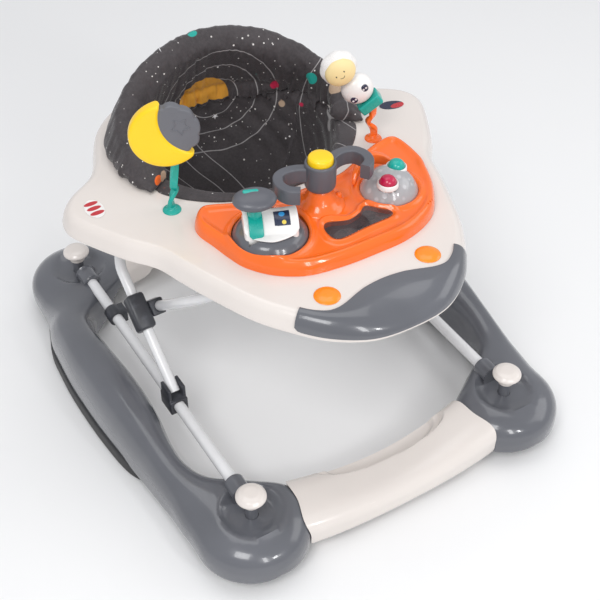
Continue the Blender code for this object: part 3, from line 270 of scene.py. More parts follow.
def spaceCloth(name, printed=True):
    # Woven polyester with a space print: orbit lines, star dust, five-pointed stars and planets
    f = Finish(name, paint["charcoal"], 0.62, Sheen_Weight=0.22, Sheen_Roughness=0.4)
    uv = f.node("UVMap", {"uv_map": "cloth"})
    u, v, _ = f.parts(uv)
    threads = (u * 5200.0).math("SINE") * (v * 5200.0).math("SINE")
    slub = f.noise(260.0, 4.0)
    ground = f.mix(slub.ramp(0.3, 0.7), shade(paint["charcoal"], 0.82), shade(paint["charcoal"], 1.25))
    fade = f.noise(14.0, 3.0)
    ground = f.mix(fade.ramp(0.4, 0.75) * 0.4, ground, shade(paint["charcoal"], 1.7))
    if printed:
        line = None
        for orbit in space["orbits"]:
            mask = orbitMask(f, *orbit)
            line = mask if line is None else line.math("MAXIMUM", mask)
        ground = f.mix(line * (0.35 + slub * 0.35), ground, (0.62, 0.60, 0.60))
        for k, (scale, size) in enumerate(space["dust"]):
            shifted = f.node("Mapping", inputs={"Vector": f.place(),
                "Location": (0.31 * k, 0.17 * k, 0.23 * k)})
            cell = f.node("TexVoronoi", inputs={"Vector": shifted, "Scale": scale, "Randomness": 1.0})
            cloud = f.noise(13.0 + 3 * k, 1.0, shifted).ramp(0.44, 0.54)
            ground = f.mix(cell.ramp(size, size * 1.25, 1.0, 0.0) * cloud, ground, (0.86, 0.83, 0.80))
        for centre, size in space["stars"]:
            star = starMask(f, centre, size, 0.4, (1, 0, 0), (0, -0.35, 0.94))
            ground = f.mix(star, ground, (0.84, 0.83, 0.84))
        for centre, size, tone in space["planets"]:
            ground = f.mix(near(f, centre, size, (1, 1, 1)), ground, paint[tone])
        half = near(f, (0.004, 0.225, 0.350), 0.042, (1, 0.4, 0.92)) * (f.parts(f.place())[2] > 0.3480)
        ground = f.mix(half, ground, f.mix(fade, shade(paint["mustard"], 0.85), paint["mustard"]))
    f.feed("Base Color", ground)
    f.feed("Roughness", 0.54 + slub * 0.16)
    f.bump(threads * 0.5 + slub + f.noise(55.0, 4.0) * 5.0, 0.5, 0.0004)
    return f.material


def stickerFinish(name, ground, blocks=()):
    # printed film: ground colour with round or banded blocks at given places
    f = Finish(name, ground, 0.28, Coat_Weight=0.3)
    tone = f.mix(f.noise(90.0).ramp(0.3, 0.7), shade(ground, 0.92), ground)
    for centre, radius, squash, colour in blocks:
        tone = f.mix(near(f, centre, radius, squash, 0.0003), tone, colour)
    f.feed("Base Color", tone)
    f.feed("Roughness", 0.24 + f.noise(200.0) * 0.08)
    return f.material


finishes = {
    "cream": mouldedFinish("creamMoulding", paint["cream"], 0.22, 0.10, 0.30, 0.015),
    "slate": mouldedFinish("slateMoulding", paint["slate"], 0.20, 0.10, 0.45, 0.07),
    "orange": mouldedFinish("orangeMoulding", paint["orange"], 0.20, 0.08, 0.45, 0.05),
    "amber": mouldedFinish("amberLamp", paint["amber"], 0.24, 0.06, 0.35, 0.04),
    "yoke": mouldedFinish("yokeMoulding", paint["yoke"], 0.36, 0.16, 0.10, 0.08),
    "yellow": mouldedFinish("yellowMoulding", paint["yellow"], 0.30, 0.10, 0.15, 0.04),
    "teal": mouldedFinish("tealMoulding", paint["teal"], 0.26, 0.10, 0.25, 0.07),
    "crimson": mouldedFinish("crimsonMoulding", paint["crimson"], 0.24, 0.10, 0.30, 0.07),
    "white": mouldedFinish("whiteMoulding", paint["white"], 0.30, 0.10, 0.15, 0.03),
    "black": satinFinish("rubberBlack", paint["black"], 0.5),
    "clip": satinFinish("clipSatin", paint["clip"], 0.36),
    "tube": tubeFinish("whitePowderCoat"),
    "steel": steelFinish("axleSteel"),
    "bubble": bubbleFinish("bubbleCover"),
    "clear": clearFinish("tintedPane"),
    "plush": plushFinish("lambPlush", paint["white"]),
    "cloth": spaceCloth("spaceCloth"),
    "plainCloth": spaceCloth("plainCloth", False),
}
print("finishes made:", len(finishes))


# Curves
def throughPoints(points, steps, closed=False):    # Catmull-Rom, a fixed number of steps to each span
    p = np.asarray(points, float)
    count = len(p)
    spans = count if closed else count - 1
    index = np.arange(spans)[:, None] + np.array([-1, 0, 1, 2])
    index = index % count if closed else np.clip(index, 0, count - 1)
    a, b, c, d = (p[index[:, k]][:, None] for k in range(4))
    t = (np.arange(steps) / steps)[None, :, None]
    bend = (2 * a - 5 * b + 4 * c - d) * t ** 2 + (3 * b - a - 3 * c + d) * t ** 3
    curve = (0.5 * (2 * b + (c - a) * t + bend)).reshape(-1, p.shape[1])
    return curve if closed else np.vstack([curve, p[-1:]])


def roundCorners(points, radius, steps=5, closed=False):    # each corner becomes a short quadratic arc
    p = np.asarray(points, float)
    before = np.roll(p, 1, 0) - p
    after = np.roll(p, -1, 0) - p
    back = np.linalg.norm(before, axis=1)[:, None] + 1e-12
    ahead = np.linalg.norm(after, axis=1)[:, None] + 1e-12
    a = p + before / back * np.minimum(radius, 0.45 * back)
    b = p + after / ahead * np.minimum(radius, 0.45 * ahead)
    t = np.linspace(0, 1, steps)[None, :, None]
    arcs = (1 - t) ** 2 * a[:, None] + 2 * t * (1 - t) * p[:, None] + t ** 2 * b[:, None]
    if closed:
        return arcs.reshape(-1, p.shape[1])
    return np.vstack([p[:1], arcs[1:-1].reshape(-1, p.shape[1]), p[-1:]])


def ease(x, low, high):
    t = np.clip((np.asarray(x, float) - low) / (high - low), 0, 1)
    return t * t * (3 - 2 * t)


def signedPower(value, power):
    return np.sign(value) * np.abs(value) ** power


def softMin(a, b, width):    # the lower of two heights, with a rounded meeting line
    h = np.clip(0.5 + 0.5 * (b - a) / width, 0, 1)
    return b * (1 - h) + a * h - width * h * (1 - h)


def insetLoop(loop, distance):    # loop runs anticlockwise; a positive distance goes inwards
    ahead = np.roll(loop, -1, 0) - np.roll(loop, 1, 0)
    normal = np.stack([-ahead[:, 1], ahead[:, 0]], 1)
    normal /= np.linalg.norm(normal, axis=1)[:, None] + 1e-12
    return loop + normal * np.reshape(distance, (-1, 1))


# Meshes
def outward(piece):    # merge the seam and poles, then point every face out
    work = bmesh.new()
    work.from_mesh(piece.data)
    bmesh.ops.remove_doubles(work, verts=work.verts, dist=1e-6)
    bmesh.ops.dissolve_degenerate(work, edges=work.edges, dist=1e-7)
    bmesh.ops.recalc_face_normals(work, faces=work.faces)
    work.to_mesh(piece.data)
    work.free()
    return piece


def smooth(piece, angle=38):
    piece.data.shade_smooth()
    piece.data.set_sharp_from_angle(angle=math.radians(angle))
    return piece


def gridPiece(name, points, closeU=False, closeV=False, caps=False):
    # quads between the rows and columns of a grid of points; caps close the first and last row
    rows, cols = points.shape[:2]
    r = np.arange(rows if closeU else rows - 1)[:, None]
    c = np.arange(cols if closeV else cols - 1)[None, :]
    r2 = (r + 1) % rows
    c2 = (c + 1) % cols
    quads = np.stack([r * cols + c, r * cols + c2, r2 * cols + c2, r2 * cols + c], -1).reshape(-1, 4).tolist()
    if caps:
        quads.append(list(range(cols)))
        quads.append(list(range((rows - 1) * cols, rows * cols))[::-1])
    mesh = bpy.data.meshes.new(name)
    mesh.from_pydata(points.reshape(-1, 3).tolist(), [], quads)
    mesh.update()
    piece = bpy.data.objects.new(name, mesh)
    bpy.context.scene.collection.objects.link(piece)
    return piece


def turned(name, profile, at=(0, 0, 0), steps=96, matrix=None):
    # a profile of (radius, height), carried round the vertical through a point
    profile = np.asarray(profile, float)
    angle = np.linspace(0, 2 * math.pi, steps, endpoint=False)
    r = profile[:, 0][:, None]
    z = np.repeat(profile[:, 1][:, None], steps, 1)
    points = np.stack([r * np.cos(angle), r * np.sin(angle), z], -1)
    if matrix is not None:
        points = points @ np.array(matrix.to_3x3()).T + np.array(matrix.translation)
    piece = gridPiece(name, points + np.array(at), closeV=True)
    return smooth(outward(piece))


def swept(name, path, section, up, turn=None, size=None):
    # a closed section of (across, up) carried along a path; turn and size may change along it
    path = np.asarray(path, float)
    ahead = np.gradient(path, axis=0)
    ahead /= np.linalg.norm(ahead, axis=1)[:, None]
    across = np.cross(ahead, np.array(up, float))
    across /= np.linalg.norm(across, axis=1)[:, None]
    over = np.cross(across, ahead)
    turn = np.zeros(len(path)) if turn is None else turn
    size = np.ones(len(path)) if size is None else size
    s = np.asarray(section, float)
    a = (s[None, :, 0] * np.cos(turn)[:, None] - s[None, :, 1] * np.sin(turn)[:, None]) * size[:, None]
    b = (s[None, :, 0] * np.sin(turn)[:, None] + s[None, :, 1] * np.cos(turn)[:, None]) * size[:, None]
    points = path[:, None] + a[..., None] * across[:, None] + b[..., None] * over[:, None]
    return smooth(outward(gridPiece(name, points, closeV=True, caps=True)))


def ringSection(radius, count=32, flat=1.0):
    angle = np.linspace(0, 2 * math.pi, count, endpoint=False)
    return np.stack([radius * np.cos(angle), flat * radius * np.sin(angle)], 1)


def slabSection(halfWide, halfTall, corner):
    box = [(halfWide, -halfTall), (halfWide, halfTall), (-halfWide, halfTall), (-halfWide, -halfTall)]
    return roundCorners(box, corner, 7, True)


def slab(name, outline, low, high, edge, matrix=None, crown=0.0):
    # an outline carried up through rounded edges; crown lifts the middle of its top a little
    turn = np.radians(np.linspace(0, 90, 6))
    steps = [(edge + 0.0004, low)]
    steps += [(edge * (1 - math.sin(a)), low + edge * (1 - math.cos(a))) for a in turn]
    steps += [(edge * (1 - math.cos(a)), high - edge * (1 - math.sin(a))) for a in turn]
    steps += [(edge + 0.0004, high), (edge + 0.0014, high + crown)]
    outline = np.asarray(outline, float)
    area = np.sum(outline[:, 0] * np.roll(outline[:, 1], -1) - outline[:, 1] * np.roll(outline[:, 0], -1))
    outline = outline if area > 0 else outline[::-1]
    rows = [np.column_stack([insetLoop(outline, d), np.full(len(outline), z)]) for d, z in steps]
    points = np.array(rows)
    if matrix is not None:
        points = points @ np.array(matrix.to_3x3()).T + np.array(matrix.translation)
    return smooth(outward(gridPiece(name, points, closeV=True, caps=True)))


def applied(piece):
    # bake the modifiers into the mesh
    graph = bpy.context.evaluated_depsgraph_get()
    graph.update()
    mesh = bpy.data.meshes.new_from_object(piece.evaluated_get(graph))
    piece.modifiers.clear()
    piece.data = mesh
    return piece


def without(piece, *cutters):
    for cutter in cutters:
        hole = piece.modifiers.new("cut", "BOOLEAN")
        hole.operation = "DIFFERENCE"
        hole.object = cutter
        hole.solver = "EXACT"
        applied(piece)
        bpy.data.objects.remove(cutter)
    return piece


def thick(piece, wall, offset=-1.0):
    walls = piece.modifiers.new("wall", "SOLIDIFY")
    walls.thickness = wall
    walls.offset = offset
    return applied(piece)


def laidOn(piece, ground, gap):
    # drop an open patch straight down onto a surface
    wrap = piece.modifiers.new("lay", "SHRINKWRAP")
    wrap.target = ground
    wrap.wrap_method = "PROJECT"
    wrap.use_project_z = True
    wrap.use_positive_direction = False
    wrap.use_negative_direction = True
    wrap.offset = gap
    return applied(piece)


def mirrorOf(piece, name):
    mesh = piece.data.copy()
    mesh.transform(Matrix.Scale(-1, 4, (1, 0, 0)))
    mesh.flip_normals()
    made = bpy.data.objects.new(name, mesh)
    bpy.context.scene.collection.objects.link(made)
    return made


def fit(piece, body, slot, finish, *nodes):
    # finish, body and the frame nodes that this piece stands for
    piece.data.materials.clear()
    piece.data.materials.append(finishes[finish] if isinstance(finish, str) else finish)
    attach(piece, body)
    if nodes:
        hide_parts(*nodes)
    return piece


def refined(node, body, slot, finish, edge=0.0009):
    # a merged copy of a small frame node with its edges broken
    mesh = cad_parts[node].data.copy()
    piece = bpy.data.objects.new(node + "_fine", mesh)
    bpy.context.scene.collection.objects.link(piece)
    work = bmesh.new()
    work.from_mesh(mesh)
    bmesh.ops.remove_doubles(work, verts=work.verts, dist=2e-6)
    flat = math.radians(2)
    bmesh.ops.dissolve_limit(work, angle_limit=flat, verts=work.verts, edges=work.edges)
    work.to_mesh(mesh)
    work.free()
    broken = piece.modifiers.new("edge", "BEVEL")
    broken.width = edge
    broken.segments = 2
    broken.limit_method = "ANGLE"
    broken.angle_limit = math.radians(40)
    return fit(smooth(applied(piece), 45), body, slot, finish, node)


# Base: rails, rockers, cross bars
base = {
    "footX": 0.2115, "footY": 0.288, "footR": 0.080, "low": 0.012, "top": 0.078, "waist": 0.38,
    "recess": [(0.0, 0.0660), (0.028, 0.0662), (0.035, 0.0680), (0.041, 0.0730), (0.045, 0.0790),
    (0.050, 0.092), (0.09, 0.20)],
    "stations": [    # y, centre x, half width, top
        (-0.288, 0.2115, 0.0800, 0.0780), (-0.262, 0.2160, 0.0750, 0.0785), (-0.235, 0.2360, 0.0565, 0.0790),
        (-0.205, 0.2590, 0.0340, 0.0800), (-0.170, 0.2700, 0.0260, 0.0840), (-0.130, 0.2735, 0.0265, 0.0920),
        (-0.070, 0.2740, 0.0335, 0.1030), (0.000, 0.2765, 0.0370, 0.1080), (0.080, 0.2800, 0.0355, 0.1050),
        (0.140, 0.2790, 0.0335, 0.0960), (0.175, 0.2720, 0.0370, 0.0880), (0.205, 0.2520, 0.0480, 0.0820),
        (0.235, 0.2290, 0.0650, 0.0790), (0.262, 0.2150, 0.0770, 0.0785), (0.288, 0.2115, 0.0800, 0.0780)],
    "tubeX": 0.210, "tubeZ": 0.0765, "tubeR": 0.0085,
}


def railRows():
    # y, centre, half width, top and bottom from tip to tip; the tips close round each foot
    lean = np.radians(np.array([89.2, 87, 83, 78, 72, 66, 60, 53, 46, 39, 32, 25, 18, 12, 6]))
    shrink = np.cos(lean)
    middle = base["low"] + base["waist"] * (base["top"] - base["low"])
    top = middle + (base["top"] - middle) * shrink ** 0.72
    low = middle - (middle - base["low"]) * shrink ** 0.45
    reach = base["footY"] + base["footR"] * np.sin(lean)
    tip = np.column_stack([reach, np.full(len(lean), base["footX"]), base["footR"] * shrink, top, low])
    body = throughPoints(base["stations"], 9)
    near_ = np.clip(3 * (1 - np.abs(body[:, 0]) / base["footY"]), 0, 1)
    body = np.column_stack([body, base["low"] - 0.004 * near_])
    front = tip * (-1, 1, 1, 1, 1)
    return np.vstack([front, body, tip[::-1]])


def railSkin():
    # section: domed above the waist and boxy below, with a dish sunk round each knob
    rows = railRows()
    y, centre, half, top, low = (rows[:, k][:, None] for k in range(5))
    angle = np.linspace(0, 2 * math.pi, 96, endpoint=False)[None, :]
    upper = np.sin(angle) >= 0
    waist = low + base["waist"] * (top - low)
    x = centre + half * signedPower(np.cos(angle), np.where(upper, 0.80, 0.44))
    z = waist + np.where(upper, top - waist, waist - low) * signedPower(np.sin(angle),
        np.where(upper, 0.80, 0.44))
    away = np.hypot(x - base["footX"], np.abs(y) - base["footY"])
    knots = np.array(base["recess"])
    dish = np.interp(away, knots[:, 0], knots[:, 1])
    z = np.where(z > waist, softMin(z, dish, 0.0045), z)
    return gridPiece("rail_skin", np.stack([x, np.broadcast_to(y, x.shape), z], -1), closeV=True, caps=True)


def footPocket(end, name):
    profile = [(0, 0.058), (0.055, 0.058), (0.067, 0.052), (0.0755, 0.036), (0.0755, -0.02), (0, -0.02)]
    return turned(name, profile, (base["footX"], end * base["footY"], 0), 64)


def makeRails():
    rail = outward(railSkin())
    cutters = []
    for end in (-1, 1):
        cutters.append(footPocket(end, "pocket"))
        at = (base["footX"], end * base["footY"], 0)
        cutters.append(turned("stemHole", [(0, 0.09), (0.0093, 0.09), (0.0093, 0.04), (0, 0.04)], at, 32))
    rail = smooth(without(rail, *cutters), 34)
    fit(rail, "base", "slate", "slate", "right_rail")
    rail.name = "right_rail_shell"
    fit(mirrorOf(rail, "left_rail_shell"), "base", "slate", "slate", "left_rail")
    for side, word in ((-1, "left"), (1, "right")):
        for end, place in ((-1, "front"), (1, "rear")):
            path = np.linspace((side * base["tubeX"], end * 0.262, base["tubeZ"]),
                               (side * base["tubeX"], end * 0.234, base["tubeZ"]), 24)
            grow = 1 + 0.16 * ease(np.linspace(0, 1, 24), 0.1, 0.0) - 0.10 * ease(np.linspace(0, 1, 24),
                0.93, 1.0)
            cuff = swept(f"{word}_{place}_cuff", path, ringSection(0.0145, 48), (0, 0, 1), size=grow)
            fit(cuff, "base", "slate", "slate")


def makeRockers():
    # a strip whose ends narrow to a point and whose underside lifts towards them
    y = np.linspace(-0.118, 0.250, 110)
    rows = railRows()
    outer = np.interp(y, rows[:, 0], rows[:, 1] + rows[:, 2]) - 0.012
    lift = np.maximum(0, np.abs(y - 0.062) - 0.150) ** 2 / 0.16
    end = np.minimum(np.arange(110), np.arange(110)[::-1]) / 18
    size = np.sqrt(1 - (1 - np.minimum(1, end)) ** 2) * 0.85 + 0.15
    angle = np.linspace(0, 2 * math.pi, 40, endpoint=False)[None, :]
    half = 0.0148 * size[:, None]
    tall = (0.012 + 0.020 * size - lift)[:, None] / 2
    x = outer[:, None] + half * signedPower(np.cos(angle), 0.42)
    z = lift[:, None] + tall + tall * signedPower(np.sin(angle), 0.42)
    points = np.stack([x, np.broadcast_to(y[:, None], x.shape), z], -1)
    shoe = smooth(outward(gridPiece("right_rocker_shoe", points, closeV=True, caps=True)))
    fit(shoe, "base", "black", "black", "right_rocker")
    fit(mirrorOf(shoe, "left_rocker_shoe"), "base", "black", "black", "left_rocker")


def footEnvelope(side, end):
    # the foot's own dome, a little grown, to trim a cross bar against
    rise = np.radians(np.linspace(90, 0, 24))
    middle = base["low"] + base["waist"] * (base["top"] - base["low"])
    wide = base["footR"] + 0.0012
    tall = base["top"] - middle + 0.0012
    dome = np.column_stack([wide * np.cos(rise) ** 0.8, middle + tall * np.sin(rise) ** 0.8])
    profile = np.vstack([[(0, dome[0, 1])], dome[1:], [(wide, -0.03), (0, -0.03)]])
    return turned("envelope", profile, (side * base["footX"], end * base["footY"], 0), 80)


def makeCrossbar(name, end):
    # a waisted bar that bows out, with a scooped double step in the front one
    x = np.linspace(-0.185, 0.185, 190)[:, None]
    t = np.abs(x) / 0.185
    bow = 0.021 * (1 - t * t)
    waist = 0.006 * np.cos(math.pi * t)
    near_ = 0.247 + bow + waist / 2
    far = 0.336 + bow - waist / 2
    top = 0.064 - 0.004 * np.cos(math.pi * t)
    angle = np.linspace(0, 2 * math.pi, 220, endpoint=False)[None, :]
    y = end * ((near_ + far) / 2 + (far - near_) / 2 * signedPower(np.cos(angle), 0.64))
    z = (0.0105 + top) / 2 + (top - 0.0105) / 2 * signedPower(np.sin(angle), 0.64)
    if end < 0:
        reach = (np.abs(x - 0.008) / 0.116) ** 2.3 + (np.abs(y + 0.262) / 0.040) ** 2.3
        step = 0.0450 + 0.0065 * ease(reach, 0.50, 0.62) + 0.0400 * ease(reach, 0.74, 1.06)
        z = np.where(z > 0.035, softMin(z, step, 0.0012), z)
    points = np.stack([np.broadcast_to(x, y.shape), y, z], -1)
    bar = outward(gridPiece(name + "_shell", points, closeV=True, caps=True))
    low, high = sorted((end * 0.262, end * 0.340))
    cavity = [(-0.118, low), (0.118, low), (0.118, high - 0.012), (-0.118, high - 0.012)]
    room = slab("cavity", roundCorners(cavity, 0.012, 8, True), -0.02, 0.036, 0.003)
    bar = without(bar, footEnvelope(-1, end), footEnvelope(1, end), room)
    fit(smooth(bar, 34), "base", "cream", "cream", name)


def makeTubes():
    for side, word in ((-1, "left"), (1, "right")):
        x = side * base["tubeX"]
        path = np.linspace((x, -0.2465, base["tubeZ"]), (x, 0.2465, base["tubeZ"]), 60)
        rail = swept(word + "_tube", path, ringSection(base["tubeR"], 40), (0, 0, 1))
        fit(rail, "base", "white_tube", "tube", word + "_base_tube")


# Cross frame
legs = {"innerX": 0.182, "pivotY": 0.148, "pivotZ": 0.0765, "innerTurn": 40, "lower": 0.1485,
    "length": 0.4021,
        "outerX": 0.210, "outerTurn": 38, "footZ": 0.099, "trayX": 0.165, "barY": 0.283, "barZ": 0.3345,
        "radius": 0.0078}


def makeLegFrames():
    # the inner frame is straight legs into half a superellipse; the outer joggles in, then bows behind the seat
    turn = math.radians(legs["innerTurn"])
    bend = np.radians(np.linspace(0, 90, 40))
    along = np.concatenate([np.linspace(-0.008, 0.19, 24),
        0.19 + (legs["length"] - 0.19) * np.sin(bend[1:]) ** (2 / 2.6)])
    across = np.concatenate([np.full(24, legs["innerX"]), legs["innerX"] * np.cos(bend[1:]) ** (2 / 2.6)])
    half = np.column_stack([across, legs["pivotY"] - along * math.cos(turn),
        legs["pivotZ"] + along * math.sin(turn)])
    path = np.vstack([half, half[-2::-1] * (-1, 1, 1)])
    inner = swept("inner_frame_tube", path, ringSection(legs["radius"], 36),
        (0, math.sin(turn), math.cos(turn)))
    fit(inner, "inner_frame", "white_tube", "tube", "inner_leg_frame")

    crossY = legs["pivotY"] - legs["lower"] * math.cos(turn)
    crossZ = legs["pivotZ"] + legs["lower"] * math.sin(turn)
    lean = math.radians(legs["outerTurn"])
    footY = crossY - (crossZ - legs["footZ"]) / math.tan(lean)
    y = np.concatenate([np.linspace(footY - 0.0047, 0.085, 20), np.linspace(0.085, 0.165, 16)[1:]])
    x = legs["outerX"] + (legs["trayX"] - legs["outerX"]) * ease(y, 0.085, 0.165)
    z = crossZ + (y - crossY) * math.tan(lean)
    v = np.sin(bend[1:]) ** (2 / 1.8)
    start = crossZ + (0.215 - crossY) * math.tan(lean)
    bow = np.column_stack([legs["trayX"] * np.cos(bend[1:]) ** (2 / 1.8), 0.215 + (legs["barY"] - 0.215) * v,
                           start + (legs["barZ"] - start) * (1 - (1 - v) ** 2.5)])
    run = np.linspace(0.17, 0.213, 6)
    reach = np.column_stack([np.full(6, legs["trayX"]), run, crossZ + (run - crossY) * math.tan(lean)])
    half = np.vstack([np.column_stack([x, y, z]), reach, bow])
    path = np.vstack([half, half[-2::-1] * (-1, 1, 1)])
    outer = swept("outer_frame_tube", path, ringSection(legs["radius"], 36),
        (0, -math.sin(lean), math.cos(lean)))
    fit(outer, "outer_frame", "white_tube", "tube", "outer_leg_frame")
    for word in ("left", "right"):
        refined(word + "_ring_clip", "base", "clip", "clip")
        refined(word + "_slide_block", "slide_blocks", "clip", "clip", 0.0012)
        refined(word + "_cross_clamp", "outer_frame", "clip", "clip", 0.0010)
        refined(word + "_leg_saddle", "inner_frame", "clip", "clip", 0.0008)


def makeCasters():
    # knob: mushroom cap with a flared neck on a dark stem that ends in a collar; wheel: tyre with a dished hub
    cap = [(0, 0.1125), (0.010, 0.1121), (0.0165, 0.1102), (0.0205, 0.1062), (0.0208, 0.1030),
        (0.0192, 0.1012), (0.0145, 0.0990),
           (0.0122, 0.0946), (0.0118, 0.0890), (0, 0.0890)]
    stem = [(0, 0.0888), (0.0088, 0.0888), (0.0088, 0.0540), (0.0125, 0.0535), (0.0125, 0.0505),
        (0.0042, 0.0503),
            (0.0042, 0.0440), (0, 0.0440)]
    tyre = [(0.0025, 0.0065), (0.0068, 0.0062), (0.0078, 0.0048), (0.0098, 0.0048), (0.0108, 0.0065),
        (0.0138, 0.0065),
            (0.0150, 0.0045), (0.0150, -0.0045), (0.0138, -0.0065), (0.0108, -0.0065), (0.0098, -0.0048),
            (0.0078, -0.0048), (0.0068, -0.0062), (0.0025, -0.0065), (0.0025, 0.0065)]
    for end, place in ((-1, "front"), (1, "rear")):
        for side, word in ((-1, "left"), (1, "right")):
            label = f"{place}_{word}"
            x = side * base["footX"]
            y = end * base["footY"]
            knob = turned(label + "_cap", roundCorners(cap, 0.0012, 5), (x, y, 0), 72)
            fit(knob, label + "_height", "cream", "cream", label + "_knob")
            shaft = turned(label + "_stem", roundCorners(stem, 0.0008, 4), (x, y, 0), 48)
            fit(shaft, label + "_height", "slate", "slate")
            spin = Matrix.Translation((x + 0.010, y, 0.0275)) @ Matrix.Rotation(math.radians(90), 4, "X")
            wheel = turned(label + "_tyre", roundCorners(tyre, 0.0008, 4), steps=64, matrix=spin)
            fit(wheel, label + "_roller", "black", "black", label + "_wheel")
            refined(label + "_fork", label + "_caster", "clip", "clip", 0.0006)
            rod = turned(label + "_pin", roundCorners([(0, 0.0115), (0.002, 0.0115), (0.002, -0.0115),
                (0, -0.0115)], 0.0005, 4),
                         steps=32, matrix=spin)
            fit(rod, label + "_caster", "steel", "steel", label + "_axle")


# Tray
tray = {
    "outline": [    # right half, from the nose round to the back
        (0.000, -0.326), (0.053, -0.320), (0.098, -0.294), (0.131, -0.257), (0.160, -0.213), (0.187, -0.149),
        (0.202, -0.108), (0.216, -0.068), (0.243, -0.031), (0.267, 0.010), (0.284, 0.045), (0.287, 0.066),
        (0.281, 0.087), (0.262, 0.108), (0.226, 0.133), (0.205, 0.163), (0.188, 0.200), (0.168, 0.236),
        (0.130, 0.270), (0.070, 0.295), (0.000, 0.302)],
    "deck": 0.360, "rim": 0.333, "holeY": 0.115, "holeR": 0.150, "wall": 0.0028, "edge": 0.015,
}


def trayLoop():
    half = np.array(tray["outline"])
    return throughPoints(np.vstack([half, half[-2:0:-1] * (-1, 1)]), 11, True)


def noseSpread(loop):    # how far in from the rim the deck begins; widest at the nose
    nose = np.exp(-(loop[:, 0] / 0.066) ** 2) * (loop[:, 1] < -0.2)
    return tray["edge"] * (1 + 3.0 * nose)


def makeTray():
    # rows run from the rolled outer rim over the deck to the rolled seat hole
    loop = trayLoop()
    spread = noseSpread(loop)
    drop = tray["deck"] - tray["rim"]
    rows = [np.column_stack([insetLoop(loop, 0.0012), np.full(len(loop), tray["rim"] + 0.0002)])]
    for a in np.radians(np.linspace(0, 90, 16)):
        lip = 0.0012 * math.exp(-((a - 0.05) / 0.16) ** 2)
        inward = spread * (1 - math.cos(a)) - lip
        rise = math.sin(a) ** 0.85 if a > 0 else 0.0
        rows.append(np.column_stack([insetLoop(loop, inward),
            np.full(len(loop), tray["rim"] + 0.0006 + (drop - 0.0006) * rise)]))
    deck = insetLoop(loop, spread * 1.02)
    centre = np.array([0.0, tray["holeY"]])
    out = deck - centre
    hole = centre + out / np.linalg.norm(out, axis=1)[:, None] * (tray["holeR"] + 0.004)
    for t in np.linspace(0, 1, 34):
        flat = deck + (hole - deck) * t
        rows.append(np.column_stack([flat, np.full(len(loop),
            tray["deck"] + 0.0008 * math.sin(math.pi * t))]))
    for a in np.radians(np.linspace(8, 90, 8)):
        bend = hole - out / np.linalg.norm(out, axis=1)[:, None] * 0.004 * math.sin(a)
        rows.append(np.column_stack([bend, np.full(len(loop), tray["deck"] - 0.004 * (1 - math.cos(a)))]))
    rows.append(rows[-1] - (0, 0, 0.012))
    top = gridPiece("tray_deck", np.array(rows), closeV=True)
    middle = len(top.data.polygons) // 2
    if top.data.polygons[middle].normal.z < 0:
        top.data.flip_normals()
    solid = smooth(thick(top, tray["wall"]), 30)
    fit(solid, "tray_unit", "cream", "cream", "tray")
    lugZ = 0.29656
    lugY = 0.19374
    for side, word in ((-1, "left"), (1, "right")):
        plan = roundCorners([(lugY - 0.010, lugZ - 0.0085), (lugY + 0.010, lugZ - 0.0085),
            (lugY + 0.012, 0.3565),
                             (lugY - 0.012, 0.3565)], 0.006, 6, True)
        stand = Matrix(((0, 0, 1, 0), (1, 0, 0, 0), (0, 1, 0, 0), (0, 0, 0, 1)))
        low, high = sorted((side * 0.1505, side * 0.1555))
        lug = slab(word + "_pivot_lug", plan, low, high, 0.0008, stand)
        fit(lug, "tray_unit", "cream", "cream")
        pin = swept(word + "_pivot_pin", np.linspace((side * 0.153, lugY, lugZ),
            (side * 0.1745, lugY, lugZ), 8),
                    ringSection(0.0028, 24), (0, 0, 1))
        fit(pin, "tray_unit", "steel", "steel")
    return solid


